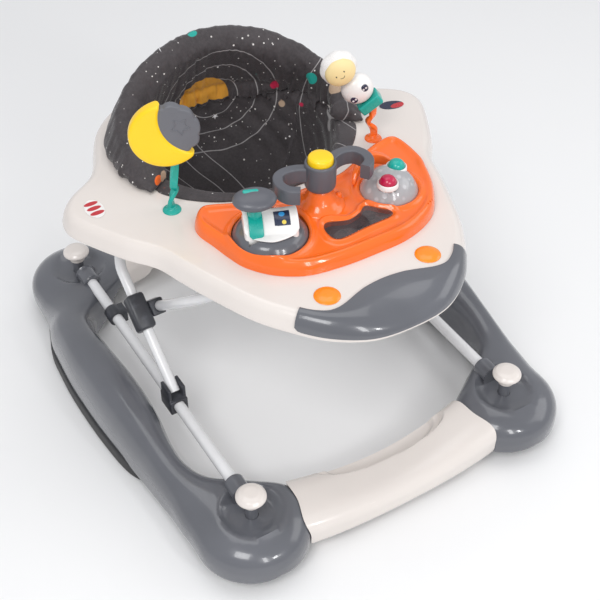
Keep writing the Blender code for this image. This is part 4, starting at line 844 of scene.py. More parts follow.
def makeBumper():
    # a band that follows the nose's slope, from just over the rim up to a wave with a horn at each end
    loop = trayLoop()
    keep = np.where((loop[:, 1] < -0.2) & (np.abs(loop[:, 0]) < 0.1285))[0]
    order = keep[np.argsort(loop[keep, 0])]
    spread = noseSpread(loop)[:, None]
    inward = 0.085 * np.linspace(0, 1, 400)[None, :] ** 2
    angle = np.arccos(np.clip(1 - inward / spread, 0, 1))
    height = np.where(inward < spread, tray["rim"] + (tray["deck"] - tray["rim"]) * np.sin(angle) ** 0.85,
        tray["deck"])
    ahead = np.roll(loop, -1, 0) - np.roll(loop, 1, 0)
    normal = np.stack([-ahead[:, 1], ahead[:, 0]], 1) / np.linalg.norm(ahead, axis=1)[:, None]
    x = (loop[:, 0][:, None] + normal[:, 0][:, None] * inward)[order]
    y = (loop[:, 1][:, None] + normal[:, 1][:, None] * inward)[order]
    z = height[order]
    wave = throughPoints([(-0.150, -0.243), (-0.117, -0.249), (-0.110, -0.257), (-0.098, -0.267),
        (-0.084, -0.275),
                          (-0.066, -0.273), (-0.048, -0.266), (-0.024, -0.260), (0.0, -0.258),
                          (0.024, -0.260), (0.048, -0.266),
                          (0.066, -0.273), (0.084, -0.275), (0.098, -0.267), (0.110, -0.257),
                          (0.117, -0.249), (0.150, -0.243)], 8)
    past = y > np.interp(x, wave[:, 0], wave[:, 1])
    last = np.argmax(past, axis=1)
    last = np.convolve(np.pad(last, 2, mode="edge"), np.ones(5) / 5, "valid")
    start = 20 + 26 * np.exp(-(0.1285 - np.abs(loop[order, 0])) / 0.0015)
    share = np.linspace(0, 1, 44)[None, :]
    pick = start[:, None] + (np.maximum(last, start + 6) - start)[:, None] * share
    row = np.arange(len(order))[:, None]
    low = np.floor(pick).astype(int)
    part = (pick - low)[..., None]
    whole = np.stack([x, y, z], -1)
    points = whole[row, low] * (1 - part) + whole[row, low + 1] * part
    skin = gridPiece("bumper_skin", points)
    if skin.data.polygons[len(skin.data.polygons) // 2].normal.z < 0:
        skin.data.flip_normals()
    skin = thick(skin, 0.0024, 1.0)
    edge = skin.modifiers.new("edge", "BEVEL")
    edge.width = 0.0009
    edge.segments = 3
    edge.angle_limit = math.radians(50)
    fit(smooth(applied(skin)), "tray_unit", "slate", "slate", "nose_bumper")


def ellipsePatch(centre, wide, deep, turn, rings=8, count=72):
    # rings of points that shrink to the middle of an ellipse
    angle = np.linspace(0, 2 * math.pi, count, endpoint=False)
    s = np.linspace(1, 0.001, rings)[:, None]
    x = s * wide * np.cos(angle)
    y = s * deep * np.sin(angle)
    c = math.cos(turn)
    d = math.sin(turn)
    return np.stack([centre[0] + x * c - y * d, centre[1] + x * d + y * c, np.full(x.shape, 0.42)], -1)


def makeTrayMarks(ground):
    # plain film marks: a striped tab on the left wing, an oval on the right; two lamps beside the bumper
    stripes = [((-0.247, 0.045 + 0.011 * k, 0.3605), 0.0042, (0.42, 1.0, 1.0),
        paint["red"]) for k in range(3)]
    left = ellipsePatch((-0.247, 0.055), 0.0125, 0.0205, math.radians(-2))
    right = ellipsePatch((0.232, 0.058), 0.019, 0.0105, math.radians(-14))
    marks = (("wing_tab", left, stickerFinish("tabFilm", paint["white"], stripes)),
             ("wing_oval", right, stickerFinish("ovalFilm", paint["navy"],
             [((0.240, 0.053, 0.3605), 0.0075, (0.6, 1.3, 1), paint["red"])])))
    for name, points, film in marks:
        mark = gridPiece(name, points, closeV=True)
        outward(mark)
        if mark.data.polygons[0].normal.z < 0:
            mark.data.flip_normals()
        mark = thick(laidOn(mark, ground, 0.0003), 0.0003, 1.0)
        fit(smooth(mark), "tray_unit", "cream", film)
    for side, word in ((-1, "left"), (1, "right")):
        lens = [(0, 0.3652), (0.008, 0.3647), (0.0135, 0.3630), (0.0165, 0.3612), (0.0170, 0.3603),
            (0, 0.3603)]
        lamp = turned(word + "_lamp", roundCorners(lens, 0.001, 4), (side * 0.075, -0.249, 0), 72)
        fit(lamp, "tray_unit", "orange", "amber", word + "_headlight")


# Play panel
panel = {
    "outline": [
        (-0.130, -0.030), (-0.097, -0.043), (-0.060, -0.062), (0.000, -0.068), (0.060, -0.062),
        (0.105, -0.042),
        (0.137, -0.029), (0.167, -0.024), (0.181, -0.040), (0.181, -0.088), (0.174, -0.112), (0.159, -0.147),
        (0.135, -0.181), (0.106, -0.201), (0.066, -0.213), (0.018, -0.215), (-0.027, -0.214),
        (-0.069, -0.208),
        (-0.095, -0.196), (-0.117, -0.178), (-0.135, -0.152), (-0.143, -0.126), (-0.149, -0.096),
        (-0.155, -0.066),
        (-0.149, -0.044)],
    "window": [(-0.014, -0.148), (-0.022, -0.166), (-0.014, -0.183), (0.030, -0.180), (0.066, -0.178),
    (0.072, -0.169),
               (0.062, -0.157), (0.050, -0.144), (0.036, -0.152), (0.015, -0.157)],
    "foot": 0.3606, "top": 0.3775, "centre": (0.012, -0.125), "bowl": (-0.084, -0.128),
    "wheel": (0.0, -0.112), "dome": (0.098, -0.128),
}


def edgeDistance(x, y, loop):
    # shortest way from each grid point to an outline
    flat = np.stack([x.ravel(), y.ravel()], 1)
    gap = np.full(len(flat), 9.0)
    for part in np.array_split(np.arange(len(flat)), 24):
        gap[part] = np.sqrt(((flat[part, None] - loop[None]) ** 2).sum(-1)).min(1)
    return gap.reshape(x.shape)


def makePanel():
    # height over a polar grid: rolled edge, raised lip, ridges round the bowl, window and dome, central swell
    loop = throughPoints(panel["outline"], 14, True)
    centre = np.array(panel["centre"])
    s = np.concatenate([[1.0], 1 - np.linspace(0, 0.12, 26)[1:] ** 1.0, np.linspace(0.875, 0.004, 74)])[:,
        None]
    x = centre[0] + (loop[:, 0] - centre[0])[None] * s
    y = centre[1] + (loop[:, 1] - centre[1])[None] * s
    d = edgeDistance(x, y, loop)
    d = np.where(s >= 1.0, 0.0, d)
    z = panel["foot"] + (panel["top"] - panel["foot"]) * np.sqrt(np.clip(1 -
        (1 - np.clip(d / 0.0065, 0, 1)) ** 2, 0, 1))
    z = z + 0.0030 * np.exp(-((d - 0.0090) / 0.0042) ** 2) - 0.0012 * ease(d, 0.012, 0.020)
    toBowl = np.hypot(x - panel["bowl"][0], y - panel["bowl"][1])
    toDome = np.hypot(x - panel["dome"][0], y - panel["dome"][1])
    toWheel = np.hypot(x - panel["wheel"][0], y - panel["wheel"][1])
    pane = throughPoints(panel["window"], 10, True)
    toPane = edgeDistance(x, y, pane)
    inside = ease(d, 0.002, 0.008)
    z = z + inside * 0.0052 * np.exp(-((toBowl - 0.0535) / 0.0042) ** 2)
    z = z + inside * 0.0042 * np.exp(-((toDome - 0.0435) / 0.0040) ** 2)
    z = z + inside * 0.0036 * np.exp(-((toPane - 0.0050) / 0.0040) ** 2)
    z = z + inside * 0.0070 * np.exp(-(np.clip(toWheel - 0.024, 0, 1) / 0.013) ** 2)
    z = z - inside * 0.0010 * np.exp(-(((x + 0.128) / 0.012) ** 2 + ((y + 0.062) / 0.020) ** 2))
    skin = gridPiece("panel_skin", np.stack([x, y, z], -1), closeV=True, caps=False)
    rows, cols = x.shape
    hub = bmesh.new()
    hub.from_mesh(skin.data)
    hub.verts.ensure_lookup_table()
    hub.faces.new([hub.verts[(rows - 1) * cols + k] for k in range(cols)])
    hub.faces.new([hub.verts[k] for k in range(cols)][::-1])
    hub.to_mesh(skin.data)
    hub.free()
    outward(skin)
    bowlHole = turned("cut", [(0, 0.42), (0.0497, 0.42), (0.0497, 0.34), (0, 0.34)], (*panel["bowl"], 0), 96)
    domeHole = turned("cut", [(0, 0.42), (0.0392, 0.42), (0.0392, 0.34), (0, 0.34)], (*panel["dome"], 0), 96)
    well = slab("cut", pane, 0.3690, 0.42, 0.0008)
    axle = turned("cut", [(0, 0.43), (0.0063, 0.43), (0.0063, 0.385), (0, 0.385)], (*panel["wheel"], 0), 32)
    cutters = [bowlHole, domeHole, well, axle]
    for k in range(3):
        at = (0.121 + 0.0058 * k, -0.184 + 0.0034 * k, 0)
        cutters.append(turned("cut", [(0, 0.40), (0.0011, 0.40), (0.0011, 0.372), (0, 0.372)], at, 16))
    skin = without(skin, *cutters)
    fit(smooth(skin, 32), "tray_unit", "orange", "orange", "play_panel")
    cone = [(0, 0.4095), (0.0130, 0.4095), (0.0158, 0.4050), (0.0178, 0.3990), (0.0216, 0.3920),
        (0.0272, 0.3860),
            (0.0335, 0.3815), (0.0335, 0.3770), (0.0068, 0.3770), (0.0068, 0.4080), (0, 0.4080)]
    hubCone = turned("console_cone", roundCorners(cone[:9], 0.0022, 6), (*panel["wheel"], 0), 96)
    fit(hubCone, "tray_unit", "orange", "orange")
    arch = np.radians(np.linspace(48, 140, 48))
    rise = np.sin(np.linspace(0, math.pi, 48)) ** 0.7
    ride = np.column_stack([panel["dome"][0] + 0.0470 * np.cos(arch),
        panel["dome"][1] + 0.0470 * np.sin(arch), 0.3790 + 0.0190 * rise])
    fin = swept("dome_arch", ride, slabSection(0.0050, 0.0085, 0.0032), (0, 0, 1), size=0.4 + 0.6 * rise)
    fit(fin, "tray_unit", "orange", "orange")
    bump = turned("console_bump", [(0, 0.3925), (0.0024, 0.3920), (0.0042, 0.3900), (0.0046, 0.3860),
        (0, 0.3860)], (0.026, -0.116, 0), 40)
    fit(bump, "tray_unit", "orange", "orange")


def makeWindow():
    # dark well floor with three raised silhouettes under a clear tinted pane
    pane = throughPoints(panel["window"], 10, True)
    floor = slab("window_floor", insetLoop(pane[::-1], 0.0006), 0.3692, 0.3700, 0.0003)
    dark = mouldedFinish("wellFloor", (0.11, 0.085, 0.09), 0.4, 0.2, 0.0, 0.1)
    fit(floor, "tray_unit", "smoke", dark)
    shapes = [((0.046, -0.161), 0.0085, 6), ((0.004, -0.166), 0.0095, 3), ((0.024, -0.170), 0.0055, 4)]
    ink = mouldedFinish("wellShapes", (0.010, 0.008, 0.009), 0.35, 0.2, 0.0, 0.1)
    for k, (at, size, sides) in enumerate(shapes):
        angle = np.linspace(0, 2 * math.pi, sides, endpoint=False) + 0.4
        loop = np.stack([at[0] + size * np.cos(angle), at[1] + 0.62 * size * np.sin(angle)], 1)
        chip = slab(f"window_chip_{k + 1}", roundCorners(loop, 0.0022, 6, True), 0.3702, 0.3720, 0.0005)
        fit(chip, "tray_unit", "smoke", ink)
    cover = slab("window_pane", insetLoop(pane[::-1], 0.0004), 0.3768, 0.3786, 0.0007)
    fit(cover, "tray_unit", "smoke", "clear", "window")


dial = {"z": 0.384, "r": 0.026, "half": 0.0345, "turn": -23, "lean": 10, "offset": -0.0195}


def drumMatrix():
    return Matrix.Translation((*panel["bowl"], dial["z"])) @ Matrix.Rotation(math.radians(dial["turn"]), 4,
        "Z")


def makeDial():
    # grey bowl that swells round a white saddle drum, with a slot for the lever's strap
    bowl = [(0, 0.3945), (0.024, 0.3940), (0.034, 0.3915), (0.0415, 0.3870), (0.0460, 0.3815),
        (0.0478, 0.3790), (0.0486, 0.3770),
            (0.0486, 0.3606), (0, 0.3606)]
    body = turned("dial_bowl_shell", throughPoints(bowl[:7], 6).tolist() + bowl[7:], (*panel["bowl"], 0), 128)
    slot = turned("cut", [(0, 0.0105), (0.0318, 0.0105), (0.0318, -0.0105), (0, -0.0105)], steps=64,
                  matrix=drumMatrix() @ Matrix.Translation((dial["offset"], 0, 0)) @
                  Matrix.Rotation(math.radians(90), 4, "Y"))
    body = without(body, slot)
    fit(smooth(body), "tray_unit", "slate", "slate", "dial_bowl")
    w = dial["half"]
    r = dial["r"]
    saddle = [(0, w), (0.014, w), (0.0215, w - 0.0008), (0.0255, w - 0.004), (0.0262, w - 0.010),
        (r - 0.0020, 0.008), (r - 0.0026, 0),
              (r - 0.0020, -0.008), (0.0262, -w + 0.010), (0.0255, -w + 0.004), (0.0215, -w + 0.0008),
              (0.014, -w), (0, -w)]
    drum = turned("saddle_drum", throughPoints(saddle, 5), steps=128,
        matrix=drumMatrix() @ Matrix.Rotation(math.radians(90), 4, "Y"))
    drum = without(drum, slab("cut", [(-0.06, -0.06), (0.06, -0.06), (0.06, 0.06), (-0.06, 0.06)], -0.05,
        -0.0150, 0.0005,
                              drumMatrix()))
    fit(smooth(drum), "tray_unit", "white", "white", "dial_drum")
    # shield-shaped apron: it follows the drum, then flares down the bowl to a rounded point in front
    across = np.linspace(-1, 1, 61)[:, None]
    along = np.linspace(0, 1, 70)[None, :]
    x = 0.0343 * across
    front = -0.0215 - 0.0150 * (1 - np.abs(across) ** 1.7)
    y = 0.0215 + (front - 0.0215) * along
    round_ = np.sqrt(np.clip(0.0263 ** 2 - y ** 2, 0.00006, None)) - 0.0016 * (1 - across ** 2)
    rim = np.interp(np.hypot(x, y), [0, 0.024, 0.034, 0.0415, 0.046], [0.0105, 0.0105, 0.0085, 0.0045, 0.0])
    z = -softMin(-round_, -rim, 0.006)
    m = drumMatrix()
    shape = np.stack([np.broadcast_to(x, y.shape), y, z],
        -1) @ np.array(m.to_3x3()).T + np.array(m.translation)
    apron = gridPiece("saddle_apron", shape)
    if apron.data.polygons[0].normal.z < 0:
        apron.data.flip_normals()
    apron = thick(apron, 0.0012, 1.0)
    slim = apron.modifiers.new("edge", "BEVEL")
    slim.width = 0.0004
    slim.segments = 2
    slim.angle_limit = math.radians(50)
    fit(smooth(applied(apron)), "tray_unit", "white", "white")
    x = np.linspace(0.004, 0.024, 22)[:, None]
    a = np.radians(np.linspace(-4, 44, 30))[None, :]
    waist = 0.0263 - 0.0016 * (1 - (x / 0.0343) ** 2) + 0.0013
    points = np.stack([np.broadcast_to(x, (22, 30)), -waist * np.sin(a), waist * np.cos(a)], -1)
    points = points @ np.array(m.to_3x3()).T + np.array(m.translation)
    film = gridPiece("drum_film", points)
    if film.data.polygons[0].normal.z < 0:
        film.data.flip_normals()
    spots = [((-0.0725, -0.137, 0.4085), 0.0042, (1, 1, 1), (0.03, 0.28, 0.62)),
             ((-0.0655, -0.146, 0.4040), 0.0048, (1, 1, 1), (0.85, 0.33, 0.05)),
             ((-0.0745, -0.147, 0.4040), 0.0036, (1, 1, 1), (0.80, 0.62, 0.10))]
    fit(smooth(thick(film, 0.0003, 1.0)), "tray_unit", "white",
        stickerFinish("drumFilm", (0.02, 0.03, 0.07), spots))


def makeLever():
    # strap over the drum, a tapered post, and a flattened head with an inlay
    m = drumMatrix() @ Matrix.Translation((dial["offset"], 0,
        0)) @ Matrix.Rotation(math.radians(dial["lean"]), 4, "X")
    turn = np.radians(np.linspace(-62, 62, 60))
    ride = np.column_stack([np.zeros(60), (dial["r"] + 0.0028) * np.sin(turn),
        (dial["r"] + 0.0028) * np.cos(turn)])
    ride = ride @ np.array(m.to_3x3()).T + np.array(m.translation)
    side = m.to_3x3() @ Vector((1, 0, 0))
    ends = 1 - 0.35 * ease(np.abs(turn), math.radians(54), math.radians(62))
    strap = swept("lever_strap", ride, slabSection(0.0020, 0.0090, 0.0012)[:, ::1], tuple(side), size=ends)
    fit(strap, "lever_unit", "teal", "teal", "lever")
    post = [(0, 0.0482), (0.0070, 0.0482), (0.0074, 0.0400), (0.0085, 0.0290), (0.0085, 0.0275), (0, 0.0275)]
    fit(turned("lever_post", roundCorners(post, 0.0008, 4), steps=64, matrix=m), "lever_unit", "teal", "teal")
    lift = dial["r"] + 0.0315
    angle = np.linspace(math.pi / 2, -math.pi / 2, 34)
    shape = np.column_stack([np.cos(angle), signedPower(np.sin(angle), 0.92)])
    oval = m @ Matrix.Translation((0, 0, lift)) @ Matrix.Diagonal((0.0275, 0.0195, 0.0090, 1))
    head = turned("lever_cap", shape, steps=96, matrix=oval)
    fit(head, "lever_unit", "slate", "yoke", "lever_head")
    pill = np.radians(np.linspace(0, 360, 64, endpoint=False))
    outline = np.stack([0.0032 * np.cos(pill) + 0.0068 * np.sign(np.cos(pill)), 0.0032 * np.sin(pill)], 1)
    inlay = slab("lever_inlay", outline, 0.0060, 0.0092, 0.0008,
        m @ Matrix.Translation((-0.004, 0.007, lift - 0.0006)), 0.0002)
    fit(inlay, "lever_unit", "teal", "teal")


def makeYoke():
    # hub with a flared foot, and a C grip each side made of one rounded bar along a curve
    at = (*panel["wheel"], 0)
    hub = [(0, 0.4428), (0.0170, 0.4428), (0.0170, 0.4470), (0.0178, 0.4480), (0.0200, 0.4474),
        (0.0208, 0.4455), (0.0203, 0.4130),
           (0.0190, 0.4103), (0.0060, 0.4103), (0.0057, 0.3875), (0, 0.3875)]
    fit(turned("yoke_hub", roundCorners(hub, 0.0007, 4), at, 96), "steering", "slate", "yoke",
        "steering_wheel")
    line = [(0.012, 0.003), (0.030, 0.0125), (0.046, 0.0140), (0.0575, 0.0085), (0.0635, -0.0060),
        (0.0600, -0.0210), (0.0480, -0.0300)]
    path = throughPoints(line, 14)
    for side, word in ((-1, "left"), (1, "right")):
        points = np.column_stack([at[0] + side * path[:, 0], at[1] + path[:, 1], np.full(len(path), 0.4315)])
        grip = swept(word + "_grip", points, slabSection(0.0066, 0.0105, 0.0022), (0, 0, 1))
        fit(grip, "steering", "slate", "yoke")
    key = [(0, 0.4572), (0.009, 0.4570), (0.0145, 0.4560), (0.0162, 0.4540), (0.0166, 0.4515),
        (0.0166, 0.4436), (0, 0.4436)]
    fit(turned("horn_cap", roundCorners(key, 0.0006, 4), at, 96), "horn", "yellow", "yellow", "horn_button")


def makeDome():
    # blown cover over the lamp, two keys in white collars
    shape = [(0, 0.4068), (0.012, 0.4058), (0.022, 0.4015), (0.0300, 0.3940), (0.0352, 0.3862),
        (0.0380, 0.3805), (0.0388, 0.3780)]
    profile = throughPoints(shape, 7).tolist() + [(0.0385, 0.3606), (0.0355, 0.3606), (0.0335, 0.3840),
        (0.026, 0.3925), (0, 0.3935)]
    cover = turned("bubble_cover", profile, (*panel["dome"], 0), 144)
    keys = (("crimson", (0.083, -0.145)), ("teal", (0.113, -0.121)))
    cover = without(cover, *[turned("cut", [(0, 0.42), (0.0121, 0.42), (0.0121, 0.3938), (0, 0.3938)],
        (*at, 0), 64) for _, at in keys])
    fit(smooth(cover), "tray_unit", "dome", "bubble", "light_dome")
    for word, at in keys:
        collar = [(0.0120, 0.4048), (0.0128, 0.4056), (0.0140, 0.4042), (0.0143, 0.3990), (0.0120, 0.3960),
            (0.0120, 0.4048)]
        fit(turned(word + "_collar", collar, (*at, 0), 64), "tray_unit", "dome", "white")
        crown = [(0, 0.4142), (0.004, 0.4137), (0.0078, 0.4117), (0.0103, 0.4085), (0.0114, 0.4050),
            (0.0115, 0.3980), (0, 0.3980)]
        cap = turned(word + "_cap", throughPoints(crown[:5], 5).tolist() + crown[5:], (*at, 0), 72)
        fit(cap, word + "_key", word, word, word + "_button")


# Toys
def stalkPath(side, tip, bend):
    x = side * 0.160
    knots = [(x, 0.0, 0.3608), (x, 0.0, 0.3770), (x + bend, 0.003, 0.3900),
        (x + bend * 0.6, -0.002, 0.4020), tip]
    return throughPoints(knots, 16)


def makeStalk(name, side, tip, bend, body, slot, finish, node):
    # a flat strip twisted along its path, on a flange
    path = stalkPath(side, tip, bend)
    twist = np.linspace(0, 3.6, len(path)) * side
    strip = swept(name, path, slabSection(0.0052, 0.0030, 0.0016), (0, 1, 0), turn=twist)
    fit(strip, body, slot, finish, node)
    foot = [(0, 0.3680), (0.0062, 0.3676), (0.0072, 0.3650), (0.0118, 0.3626), (0.0125, 0.3612),
        (0.0125, 0.3604), (0, 0.3604)]
    flange = turned(name + "_flange", roundCorners(foot, 0.0010, 5), (side * 0.160, 0, 0), 64)
    fit(flange, body, slot, finish)


def makeMoonToy():
    makeStalk("moon_twist", -1, (-0.150, -0.001, 0.4340), 0.008, "moon_toy", "teal", "teal", "moon_stalk")
    stand = Matrix.Translation((-0.160, 0, 0.480)) @ Matrix.Rotation(math.radians(-22), 4, "Z")
    stand = stand @ Matrix.Rotation(math.radians(90), 4, "X") @ Matrix.Rotation(math.radians(28), 4, "Z")
    sweep = np.linspace(0, 1, 90)
    outer = np.radians(66 + 228 * sweep)
    inner = np.radians(135 + 90 * sweep)
    a = np.column_stack([0.046 * np.cos(outer), 0.046 * np.sin(outer)])
    b = np.column_stack([0.0565 + 0.0560 * np.cos(inner), 0.0560 * np.sin(inner)])
    across = (a - b) / 2
    ends = np.minimum(sweep, 1 - sweep) / 0.035
    ends = np.sqrt(1 - (1 - np.clip(ends, 0.02, 1)) ** 2)
    across = across * ends[:, None]
    thin = 0.0086 * ends
    angle = np.linspace(0, 2 * math.pi, 48, endpoint=False)
    wide = signedPower(np.cos(angle), 0.5)
    plan = (a + b)[:, None] / 2 + across[:, None] * wide[None, :, None]
    deep = thin[:, None] * signedPower(np.sin(angle), 0.5)[None]
    points = np.concatenate([plan, deep[..., None]],
        -1) @ np.array(stand.to_3x3()).T + np.array(stand.translation)
    crescent = smooth(outward(gridPiece("moon_crescent", points, closeV=True, caps=True)), 50)
    fit(crescent, "moon_toy", "yellow", "yellow", "moon")
    angle = np.linspace(0, 2 * math.pi, 240, endpoint=False)
    scallop = 0.0345 + 0.0028 * np.abs(np.sin(4.5 * angle)) * ease(np.cos(angle), -0.35, 0.05)
    cloud = np.stack([0.0140 + scallop * np.cos(angle) * 0.86, 0.0010 + scallop * np.sin(angle)], 1)
    grey = mouldedFinish("cloudMoulding", (0.135, 0.138, 0.155), 0.38, 0.16, 0.0, 0.08)
    fit(slab("moon_cloud", cloud, -0.0062, 0.0062, 0.0022, stand), "moon_toy", "cloud", grey, "cloud")
    tip = np.arange(10)
    reach = np.where(tip % 2 == 0, 0.0130, 0.0064)
    star = np.stack([0.0235 + reach * np.cos(tip * math.pi / 5 + 0.5),
        0.002 + reach * np.sin(tip * math.pi / 5 + 0.5)], 1)
    line = roundCorners(star, 0.0020, 5, True)
    line = np.vstack([line, line[:2]])
    for face, word in ((1, "front"), (-1, "back")):
        flat = np.column_stack([line, np.full(len(line), face * 0.0062)])
        flat = flat @ np.array(stand.to_3x3()).T + np.array(stand.translation)
        bead = swept("cloud_star_" + word, flat, ringSection(0.0008, 12),
            tuple(stand.to_3x3() @ Vector((0, 0, face))))
        fit(bead, "moon_toy", "cloud", grey)


def makeLambToy():
    makeStalk("lamb_twist", 1, (0.1562, 0.0, 0.4170), -0.008, "lamb_toy", "orange", "orange", "lamb_stalk")
    stand = Matrix.Translation((0.156, 0, 0.418)) @ Matrix.Rotation(math.radians(-22), 4, "Z")
    stand = stand @ Matrix.Rotation(math.radians(-38), 4, "Y")
    block = roundCorners([(-0.017, -0.0125), (0.017, -0.0125), (0.017, 0.0125), (-0.017, 0.0125)], 0.004, 8,
        True)
    fit(slab("lamb_block", block, 0.0, 0.0150, 0.0020, stand), "lamb_toy", "teal", "teal", "lamb_base")
    angle = np.linspace(math.pi / 2, -math.pi / 2, 60)
    shape = np.column_stack([np.cos(angle), np.sin(angle)])
    at = stand @ Matrix.Translation((0, 0, 0.0372)) @ Matrix.Diagonal((0.0228, 0.0172, 0.0225, 1))
    body = turned("lamb_belly", shape, steps=96, matrix=at)
    fit(body, "lamb_toy", "white", "white", "lamb_body")
    u = np.linspace(0.002, math.pi - 0.002, 70)[:, None]
    v = np.linspace(0, 2 * math.pi, 140, endpoint=False)[None, :]
    curl = 1 + 0.045 * np.abs(np.sin(4 * v)) * np.abs(np.sin(3.0 * u)) ** 0.6
    flat = np.stack([0.0252 * np.sin(u) * np.cos(v) * curl, 0.0180 * np.cos(u) * np.ones_like(v),
        0.0236 * np.sin(u) * np.sin(v) * curl], -1)
    m = stand @ Matrix.Translation((0, 0, 0.0810))
    hood = gridPiece("lamb_hood", flat @ np.array(m.to_3x3()).T + np.array(m.translation), closeV=True,
        caps=True)
    fit(smooth(outward(hood), 60), "lamb_toy", "white", "plush", "lamb_head")
    front = m @ Matrix.Translation((0, -0.0100, -0.0010)) @ Matrix.Rotation(math.radians(90), 4, "X")
    disc = [(0, 0.0112), (0.006, 0.0106), (0.012, 0.0086), (0.0168, 0.0050), (0.0182, 0.0016),
        (0.0170, -0.002), (0, -0.002)]
    oval = front @ Matrix.Diagonal((1.16, 1.08, 1, 1))
    skin = mouldedFinish("lambFace", paint["face"], 0.5, 0.14, 0.0, 0.04)
    fit(turned("lamb_face", throughPoints(disc, 6), steps=96, matrix=oval), "lamb_toy", "white", skin)
    ink = mouldedFinish("lambInk", (0.008, 0.008, 0.010), 0.3, 0.1, 0.2, 0.05)
    for x in (-0.0062, 0.0062):
        eye = front @ Matrix.Translation((x, 0.0030, 0.0098)) @ Matrix.Diagonal((0.0014, 0.0019, 0.0010, 1))
        fit(turned("lamb_eye_" + ("left" if x < 0 else "right"), shape, steps=32, matrix=eye), "lamb_toy",
            "white", ink)
    grin = np.radians(np.linspace(215, 325, 30))
    smile = np.column_stack([0.0042 * np.cos(grin), 0.0004 + 0.0042 * np.sin(grin), np.full(30, 0.0108)])
    smile = smile @ np.array(front.to_3x3()).T + np.array(front.translation)
    facing = front.to_3x3() @ Vector((0, 0, 1))
    fit(swept("lamb_smile", smile, ringSection(0.00045, 12), tuple(facing)), "lamb_toy", "white", ink)
    for k, (x, z) in enumerate(((-0.0105, -0.003), (0.0105, 0.002))):
        spot = at.translation
        place = Matrix.Translation(spot) @ stand.to_3x3().to_4x4() @ Matrix.Translation((x, -0.0146,
            z)) @ Matrix.Rotation(math.radians(90), 4, "X")
        stripes = [(tuple((place @ Matrix.Translation((0.0022 * j, 0, 0.002))).translation), 0.0016,
            (1, 1, 1), (0.7, 0.7, 0.7)) for j in (-1, 1)]
        badge = turned(f"lamb_button_{k + 1}", [(0, 0.0020), (0.0042, 0.0018), (0.0052, 0.0008),
            (0.0052, -0.003), (0, -0.003)], steps=48, matrix=place)
        fit(badge, "lamb_toy", "white", stickerFinish(f"buttonFilm{k + 1}", paint["navy"], stripes))


# Seat: padded roll, padded liner with leg holes
seat = {"centre": (0.0, 0.115), "sweep": 118, "half": 0.0145, "cap": 0.007, "voxel": 0.0048, "hole": 0.146,
    "tuck": 0.1370}


def seatUv(piece):
    # cloth coordinates in metres: round the seat, and up or across it
    mesh = piece.data
    count = len(mesh.vertices)
    co = np.empty(count * 3)
    mesh.vertices.foreach_get("co", co)
    co = co.reshape(-1, 3)
    x = co[:, 0] - seat["centre"][0]
    y = co[:, 1] - seat["centre"][1]
    round_ = np.arctan2(x, y) * 0.16
    up = co[:, 2] + 0.7 * np.hypot(x, y)
    loops = np.empty(len(mesh.loops), int)
    mesh.loops.foreach_get("vertex_index", loops)
    layer = mesh.uv_layers.new(name="cloth")
    layer.data.foreach_set("uv", np.column_stack([round_, up])[loops].ravel())
    return piece


def remeshed(piece, voxel, smoothing=6):
    grid = piece.modifiers.new("voxel", "REMESH")
    grid.mode = "VOXEL"
    grid.voxel_size = voxel
    applied(piece)
    relax = piece.modifiers.new("relax", "SMOOTH")
    relax.factor = 0.5
    relax.iterations = smoothing
    return applied(piece)


def coordinates(mesh):
    co = np.empty(len(mesh.vertices) * 3)
    mesh.vertices.foreach_get("co", co)
    return co.reshape(-1, 3)


def puffed(piece, pressure, cap):
    # pressure from inside, no gravity, no point moves further than the cap
    start = coordinates(piece.data)
    cloth = piece.modifiers.new("cloth", "CLOTH")
    cloth.settings.quality = 5
    cloth.settings.mass = 0.3
    cloth.settings.tension_stiffness = 12
    cloth.settings.compression_stiffness = 12
    cloth.settings.bending_stiffness = 0.6
    cloth.settings.use_pressure = True
    cloth.settings.uniform_pressure_force = pressure
    cloth.settings.effector_weights.gravity = 0
    scene = bpy.context.scene
    for step in range(1, 21):
        scene.frame_set(step)
    graph = bpy.context.evaluated_depsgraph_get()
    moved = coordinates(piece.evaluated_get(graph).to_mesh()) - start
    piece.modifiers.remove(cloth)
    scene.frame_set(1)
    length = np.linalg.norm(moved, axis=1)[:, None] + 1e-12
    end = start + moved * np.minimum(1, cap / length)
    piece.data.vertices.foreach_set("co", end.ravel())
    piece.data.update()
    return piece


def creased(piece, depth):
    # gathers: ridges fan across the roll, deepest at its seams, from sines with uneven spacing
    mesh = piece.data
    co = coordinates(mesh)
    normal = np.empty(len(mesh.vertices) * 3)
    mesh.vertices.foreach_get("normal", normal)
    normal = normal.reshape(-1, 3)
    x = co[:, 0]
    y = co[:, 1] - seat["centre"][1]
    turn = np.arctan2(x, y)
    tall = co[:, 2] - 0.36
    drift = 0.5 * np.sin(3.1 * turn + 1.3) + 0.35 * np.sin(7.7 * turn + tall * 30)
    ridge = 1 - 2 * np.abs(np.sin(13 * turn + 2.2 * drift + 7 * tall)) ** 0.55
    small = np.sin(57 * turn - 14 * tall + 3 * drift) + 0.5 * np.sin(103 * turn + 40 * tall + 4 * drift)
    low = np.exp(-np.clip(tall + 0.01, 0, 1) / 0.045)
    patch = 0.45 + 0.55 * (0.5 + 0.5 * np.sin(5.3 * turn + 2.1))
    amount = -depth * (0.30 + low) * patch * ridge + 0.30 * depth * (0.3 + low) * small
    mesh.vertices.foreach_set("co", (co + normal * amount[:, None]).ravel())
    mesh.update()
    return piece


def finer(piece):
    more = piece.modifiers.new("finer", "SUBSURF")
    more.levels = 1
    more.render_levels = 1
    return applied(piece)


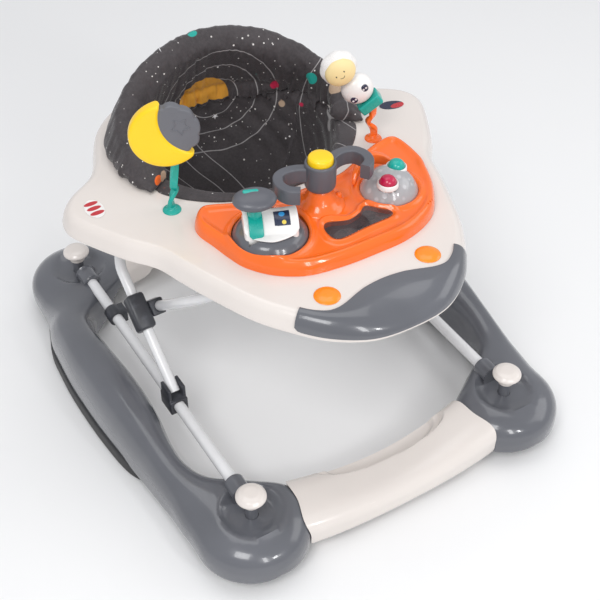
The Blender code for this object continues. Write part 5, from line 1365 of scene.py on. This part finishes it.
def makeSeatRoll():
    # horseshoe whose section stands on the tray and leans in to a rounded rim
    turn = np.radians(np.linspace(-seat["sweep"], seat["sweep"], 120))[:, None]
    c = np.cos(turn)
    s = np.sin(turn)
    crown = 0.391 + 0.071 * np.clip(c, 0, 1) ** 1.5 - 0.048 * np.clip(-c, 0, 1)
    depth = np.where(c > 0, 0.100, 0.130)
    foot = np.concatenate([0.174 * s, seat["centre"][1] + 0.152 * c, np.full(c.shape, 0.3612)], 1)
    rim = np.concatenate([0.162 * s, seat["centre"][1] + depth * c, crown], 1)
    out = np.concatenate([s / 0.174, c / 0.152, np.zeros(c.shape)], 1)
    out /= np.linalg.norm(out, axis=1)[:, None]
    far = ease(np.degrees(np.abs(turn)), 85, 118)
    behind = 1 - far
    half = seat["half"] + 0.005 * far
    centre = np.array([0.0, seat["centre"][1], 0.0])
    flat = foot * (1, 1, 0) - centre
    tuck = flat - out * (half + 0.020)
    reach = np.linalg.norm(tuck, axis=1)[:, None]
    tuck = tuck / reach * np.minimum(reach, seat["tuck"])
    inner = flat - out * half
    hem = centre + tuck * behind + inner * far + np.array([0, 0, 1]) * (0.3615 - 0.024 * behind)
    edge = flat / np.linalg.norm(flat, axis=1)[:,
        None] * np.minimum(np.linalg.norm(flat, axis=1)[:, None] - 0.003, seat["hole"] - 0.006)
    rest = centre + edge * behind + (inner + out * 0.004) * far + np.array([0, 0, 0.3618])
    rows = [foot + out * half, foot * 0.5 + rim * 0.5 + out * (half + 0.003)]
    for k in np.radians(np.linspace(0, 180, 9)):
        rows.append(rim + out * half * math.cos(k) + np.array([0, 0, 0.0145 * math.sin(k)]))
    rows += [foot * 0.5 + rim * 0.5 - out * (half + 0.008 * behind),
        foot * 0.9 + rim * 0.1 - out * (half + 0.014 * behind), hem, rest]
    points = np.stack(rows, 1)
    roll = outward(gridPiece("seat_roll", points, closeV=True, caps=True))
    roll = remeshed(roll, seat["voxel"])
    roll = puffed(roll, 4.0, seat["cap"])
    roll = creased(finer(roll), 0.0027)
    co = coordinates(roll.data)
    away = np.hypot(co[:, 0], co[:, 1] - seat["centre"][1])
    co[:, 2] = np.where(away > seat["hole"] - 0.002, np.maximum(co[:, 2], 0.3611), co[:, 2])
    roll.data.vertices.foreach_set("co", co.ravel())
    fit(smooth(seatUv(roll), 80), "tray_unit", "fabric", "cloth", "seat_back")


def makeSeatLiner():
    # one padded skin: it hangs from the roll's inner foot at the back and laps the tray's hole in front
    turn = np.linspace(-math.pi, math.pi, 160, endpoint=False)[:, None]
    c = np.cos(turn)
    rear = ease(np.degrees(np.abs(turn)), 116, 94)
    # radius and height of each ring, in front and at the back
    frontRows = [(0.1560, 0.3622), (0.1515, 0.3640), (0.1462, 0.3628), (0.1425, 0.3540), (0.1405, 0.3350),
        (0.1345, 0.2950),
                 (0.1220, 0.2580), (0.0980, 0.2310), (0.0600, 0.2170), (0.0250, 0.2120), (0.0010, 0.2110)]
    rearRows = [(0.1488, 0.3602), (0.1430, 0.3598), (0.1340, 0.3560), (0.1260, 0.3460), (0.1240, 0.3240),
        (0.1255, 0.2950),
                (0.1180, 0.2600), (0.0960, 0.2330), (0.0600, 0.2180), (0.0250, 0.2125), (0.0010, 0.2115)]
    a = throughPoints(frontRows, 5)
    b = throughPoints(rearRows, 5)
    r = a[:, 0][None] * (1 - rear) + b[:, 0][None] * rear
    z = a[:, 1][None] * (1 - rear) + b[:, 1][None] * rear
    wider = r * (1 + 0.12 * rear * np.sin(turn) ** 2 * ease(z, 0.25, 0.33))
    r = np.where(r > 0.1489, r, np.minimum(wider, 0.1488))
    lap = np.clip((r - 0.146) / 0.010, 0, 1) * (1 - rear)
    wide = 1 + lap * 0.14 * np.abs(np.sin(turn)) ** 1.5
    x = seat["centre"][0] + r * wide * np.sin(turn)
    y = seat["centre"][1] + r * wide * c
    skin = gridPiece("seat_liner", np.stack([x, y, z], -1), closeU=True)
    outward(skin)
    if skin.data.polygons[5].normal.z < 0:
        skin.data.flip_normals()
    liner = thick(skin, 0.0030, -1.0)
    outward(liner)
    holes = []
    for side in (-1, 1):
        start = np.array((side * 0.048, 0.085, 0.262))
        end = np.array((side * 0.110, -0.055, 0.225))
        holes.append(swept("cut", np.linspace(start, end, 4), ringSection(0.0435, 48), (0, 0, 1)))
    liner = without(liner, *holes)
    liner = remeshed(liner, 0.0016, 2)
    co = coordinates(liner.data)
    normal = np.empty(len(co) * 3)
    liner.data.vertices.foreach_get("normal", normal)
    normal = normal.reshape(-1, 3)
    turn = np.arctan2(co[:, 0], co[:, 1] - seat["centre"][1])
    deep = np.clip((0.362 - co[:, 2]) / 0.15, 0, 1)
    soft = 0.0016 * np.sin(7 * turn + 1 + 9 * deep) + 0.0010 * np.sin(17 * turn - 26 * deep)
    pull = 0.0013 * np.sin(49 * turn + 3 * np.sin(5 * turn)) * np.exp(-deep / 0.10)
    seam = sum(np.exp(-((turn - a) / 0.012) ** 2) for a in (-1.42, 1.22)) * 0.0024 * (deep > 0.03)
    # every point moves along the wall's outward radial way, so both faces of the cloth move together
    radial = np.stack([np.sin(turn), np.cos(turn), np.zeros(len(turn))], 1)
    co = co + radial * ((soft + pull) * (deep < 0.92) * ease(deep, 0.0, 0.08) + seam)[:, None]
    liner.data.vertices.foreach_set("co", co.ravel())
    liner.data.update()
    fit(smooth(seatUv(liner), 80), "tray_unit", "fabric", "cloth", "seat_sling")


makeRails()
makeRockers()
makeCrossbar("front_crossbar", -1)
makeCrossbar("rear_crossbar", 1)
makeTubes()
makeLegFrames()
makeCasters()
print("base and frame made")
deckPiece = makeTray()
makeBumper()
makeTrayMarks(deckPiece)
makePanel()
makeWindow()
makeDial()
makeLever()
makeYoke()
makeDome()
print("tray and panel made")
makeMoonToy()
makeLambToy()
makeSeatRoll()
makeSeatLiner()
print("toys and seat made")


# Floor, lights and camera
studio = {"floor": 60.0, "white": (0.86, 0.86, 0.86)}


def makeStudio():
    half = studio["floor"] / 2
    plan = np.array([[(-half, -half, -0.0002), (half, -half, -0.0002)],
        [(-half, half, -0.0002), (half, half, -0.0002)]])
    floor = gridPiece("studio_floor", plan)
    f = Finish("studioPaper", studio["white"], 0.75)
    f.feed("Base Color", f.mix(f.noise(3.0), studio["white"], shade(studio["white"], 0.985)))
    floor.data.materials.append(f.material)
    world = bpy.data.worlds.new("studioSky")
    world.use_nodes = True
    sky = world.node_tree.nodes["Background"]
    sky.inputs[0].default_value = (0.96, 0.97, 1.0, 1.0)
    sky.inputs[1].default_value = 0.62
    bpy.context.scene.world = world
    lamps = [("key", (-1.6, -1.3, 2.6), 1.1, 1.1, 30), ("fill", (2.2, -0.9, 1.7), 1.8, 1.2, 11),
        ("top", (0.2, 0.6, 3.0), 2.4, 1.6, 16),
             ("strip", (-0.35, -2.1, 1.5), 0.28, 0.9, 9), ("spark", (0.25, -2.0, 1.35), 0.18, 0.30, 5)]
    for name, place, wide, tall, power in lamps:
        lamp = bpy.data.lights.new(name, "AREA")
        lamp.shape = "RECTANGLE"
        lamp.size = wide
        lamp.size_y = tall
        lamp.energy = power
        item = bpy.data.objects.new(name, lamp)
        aim = Vector((0, 0, 0.2)) - Vector(place)
        item.matrix_world = Matrix.Translation(place) @ aim.to_track_quat("-Z", "Y").to_matrix().to_4x4()
        bpy.context.scene.collection.objects.link(item)


def makeCamera():
    lens = bpy.data.cameras.new("studioCamera")
    lens.lens = 67.4
    lens.sensor_width = 36
    camera = bpy.data.objects.new("studioCamera", lens)
    turn = Matrix(((0.855, 0.350, -0.383), (-0.519, 0.577, -0.631), (0.0, 0.738, 0.6746))).to_quaternion()
    camera.matrix_world = Matrix.Translation((-0.6255, -1.0926, 1.274)) @ turn.to_matrix().to_4x4()
    bpy.context.scene.collection.objects.link(camera)
    bpy.context.scene.camera = camera
    bpy.context.scene.view_settings.view_transform = "Standard"


makeStudio()
makeCamera()
print("studio ready")
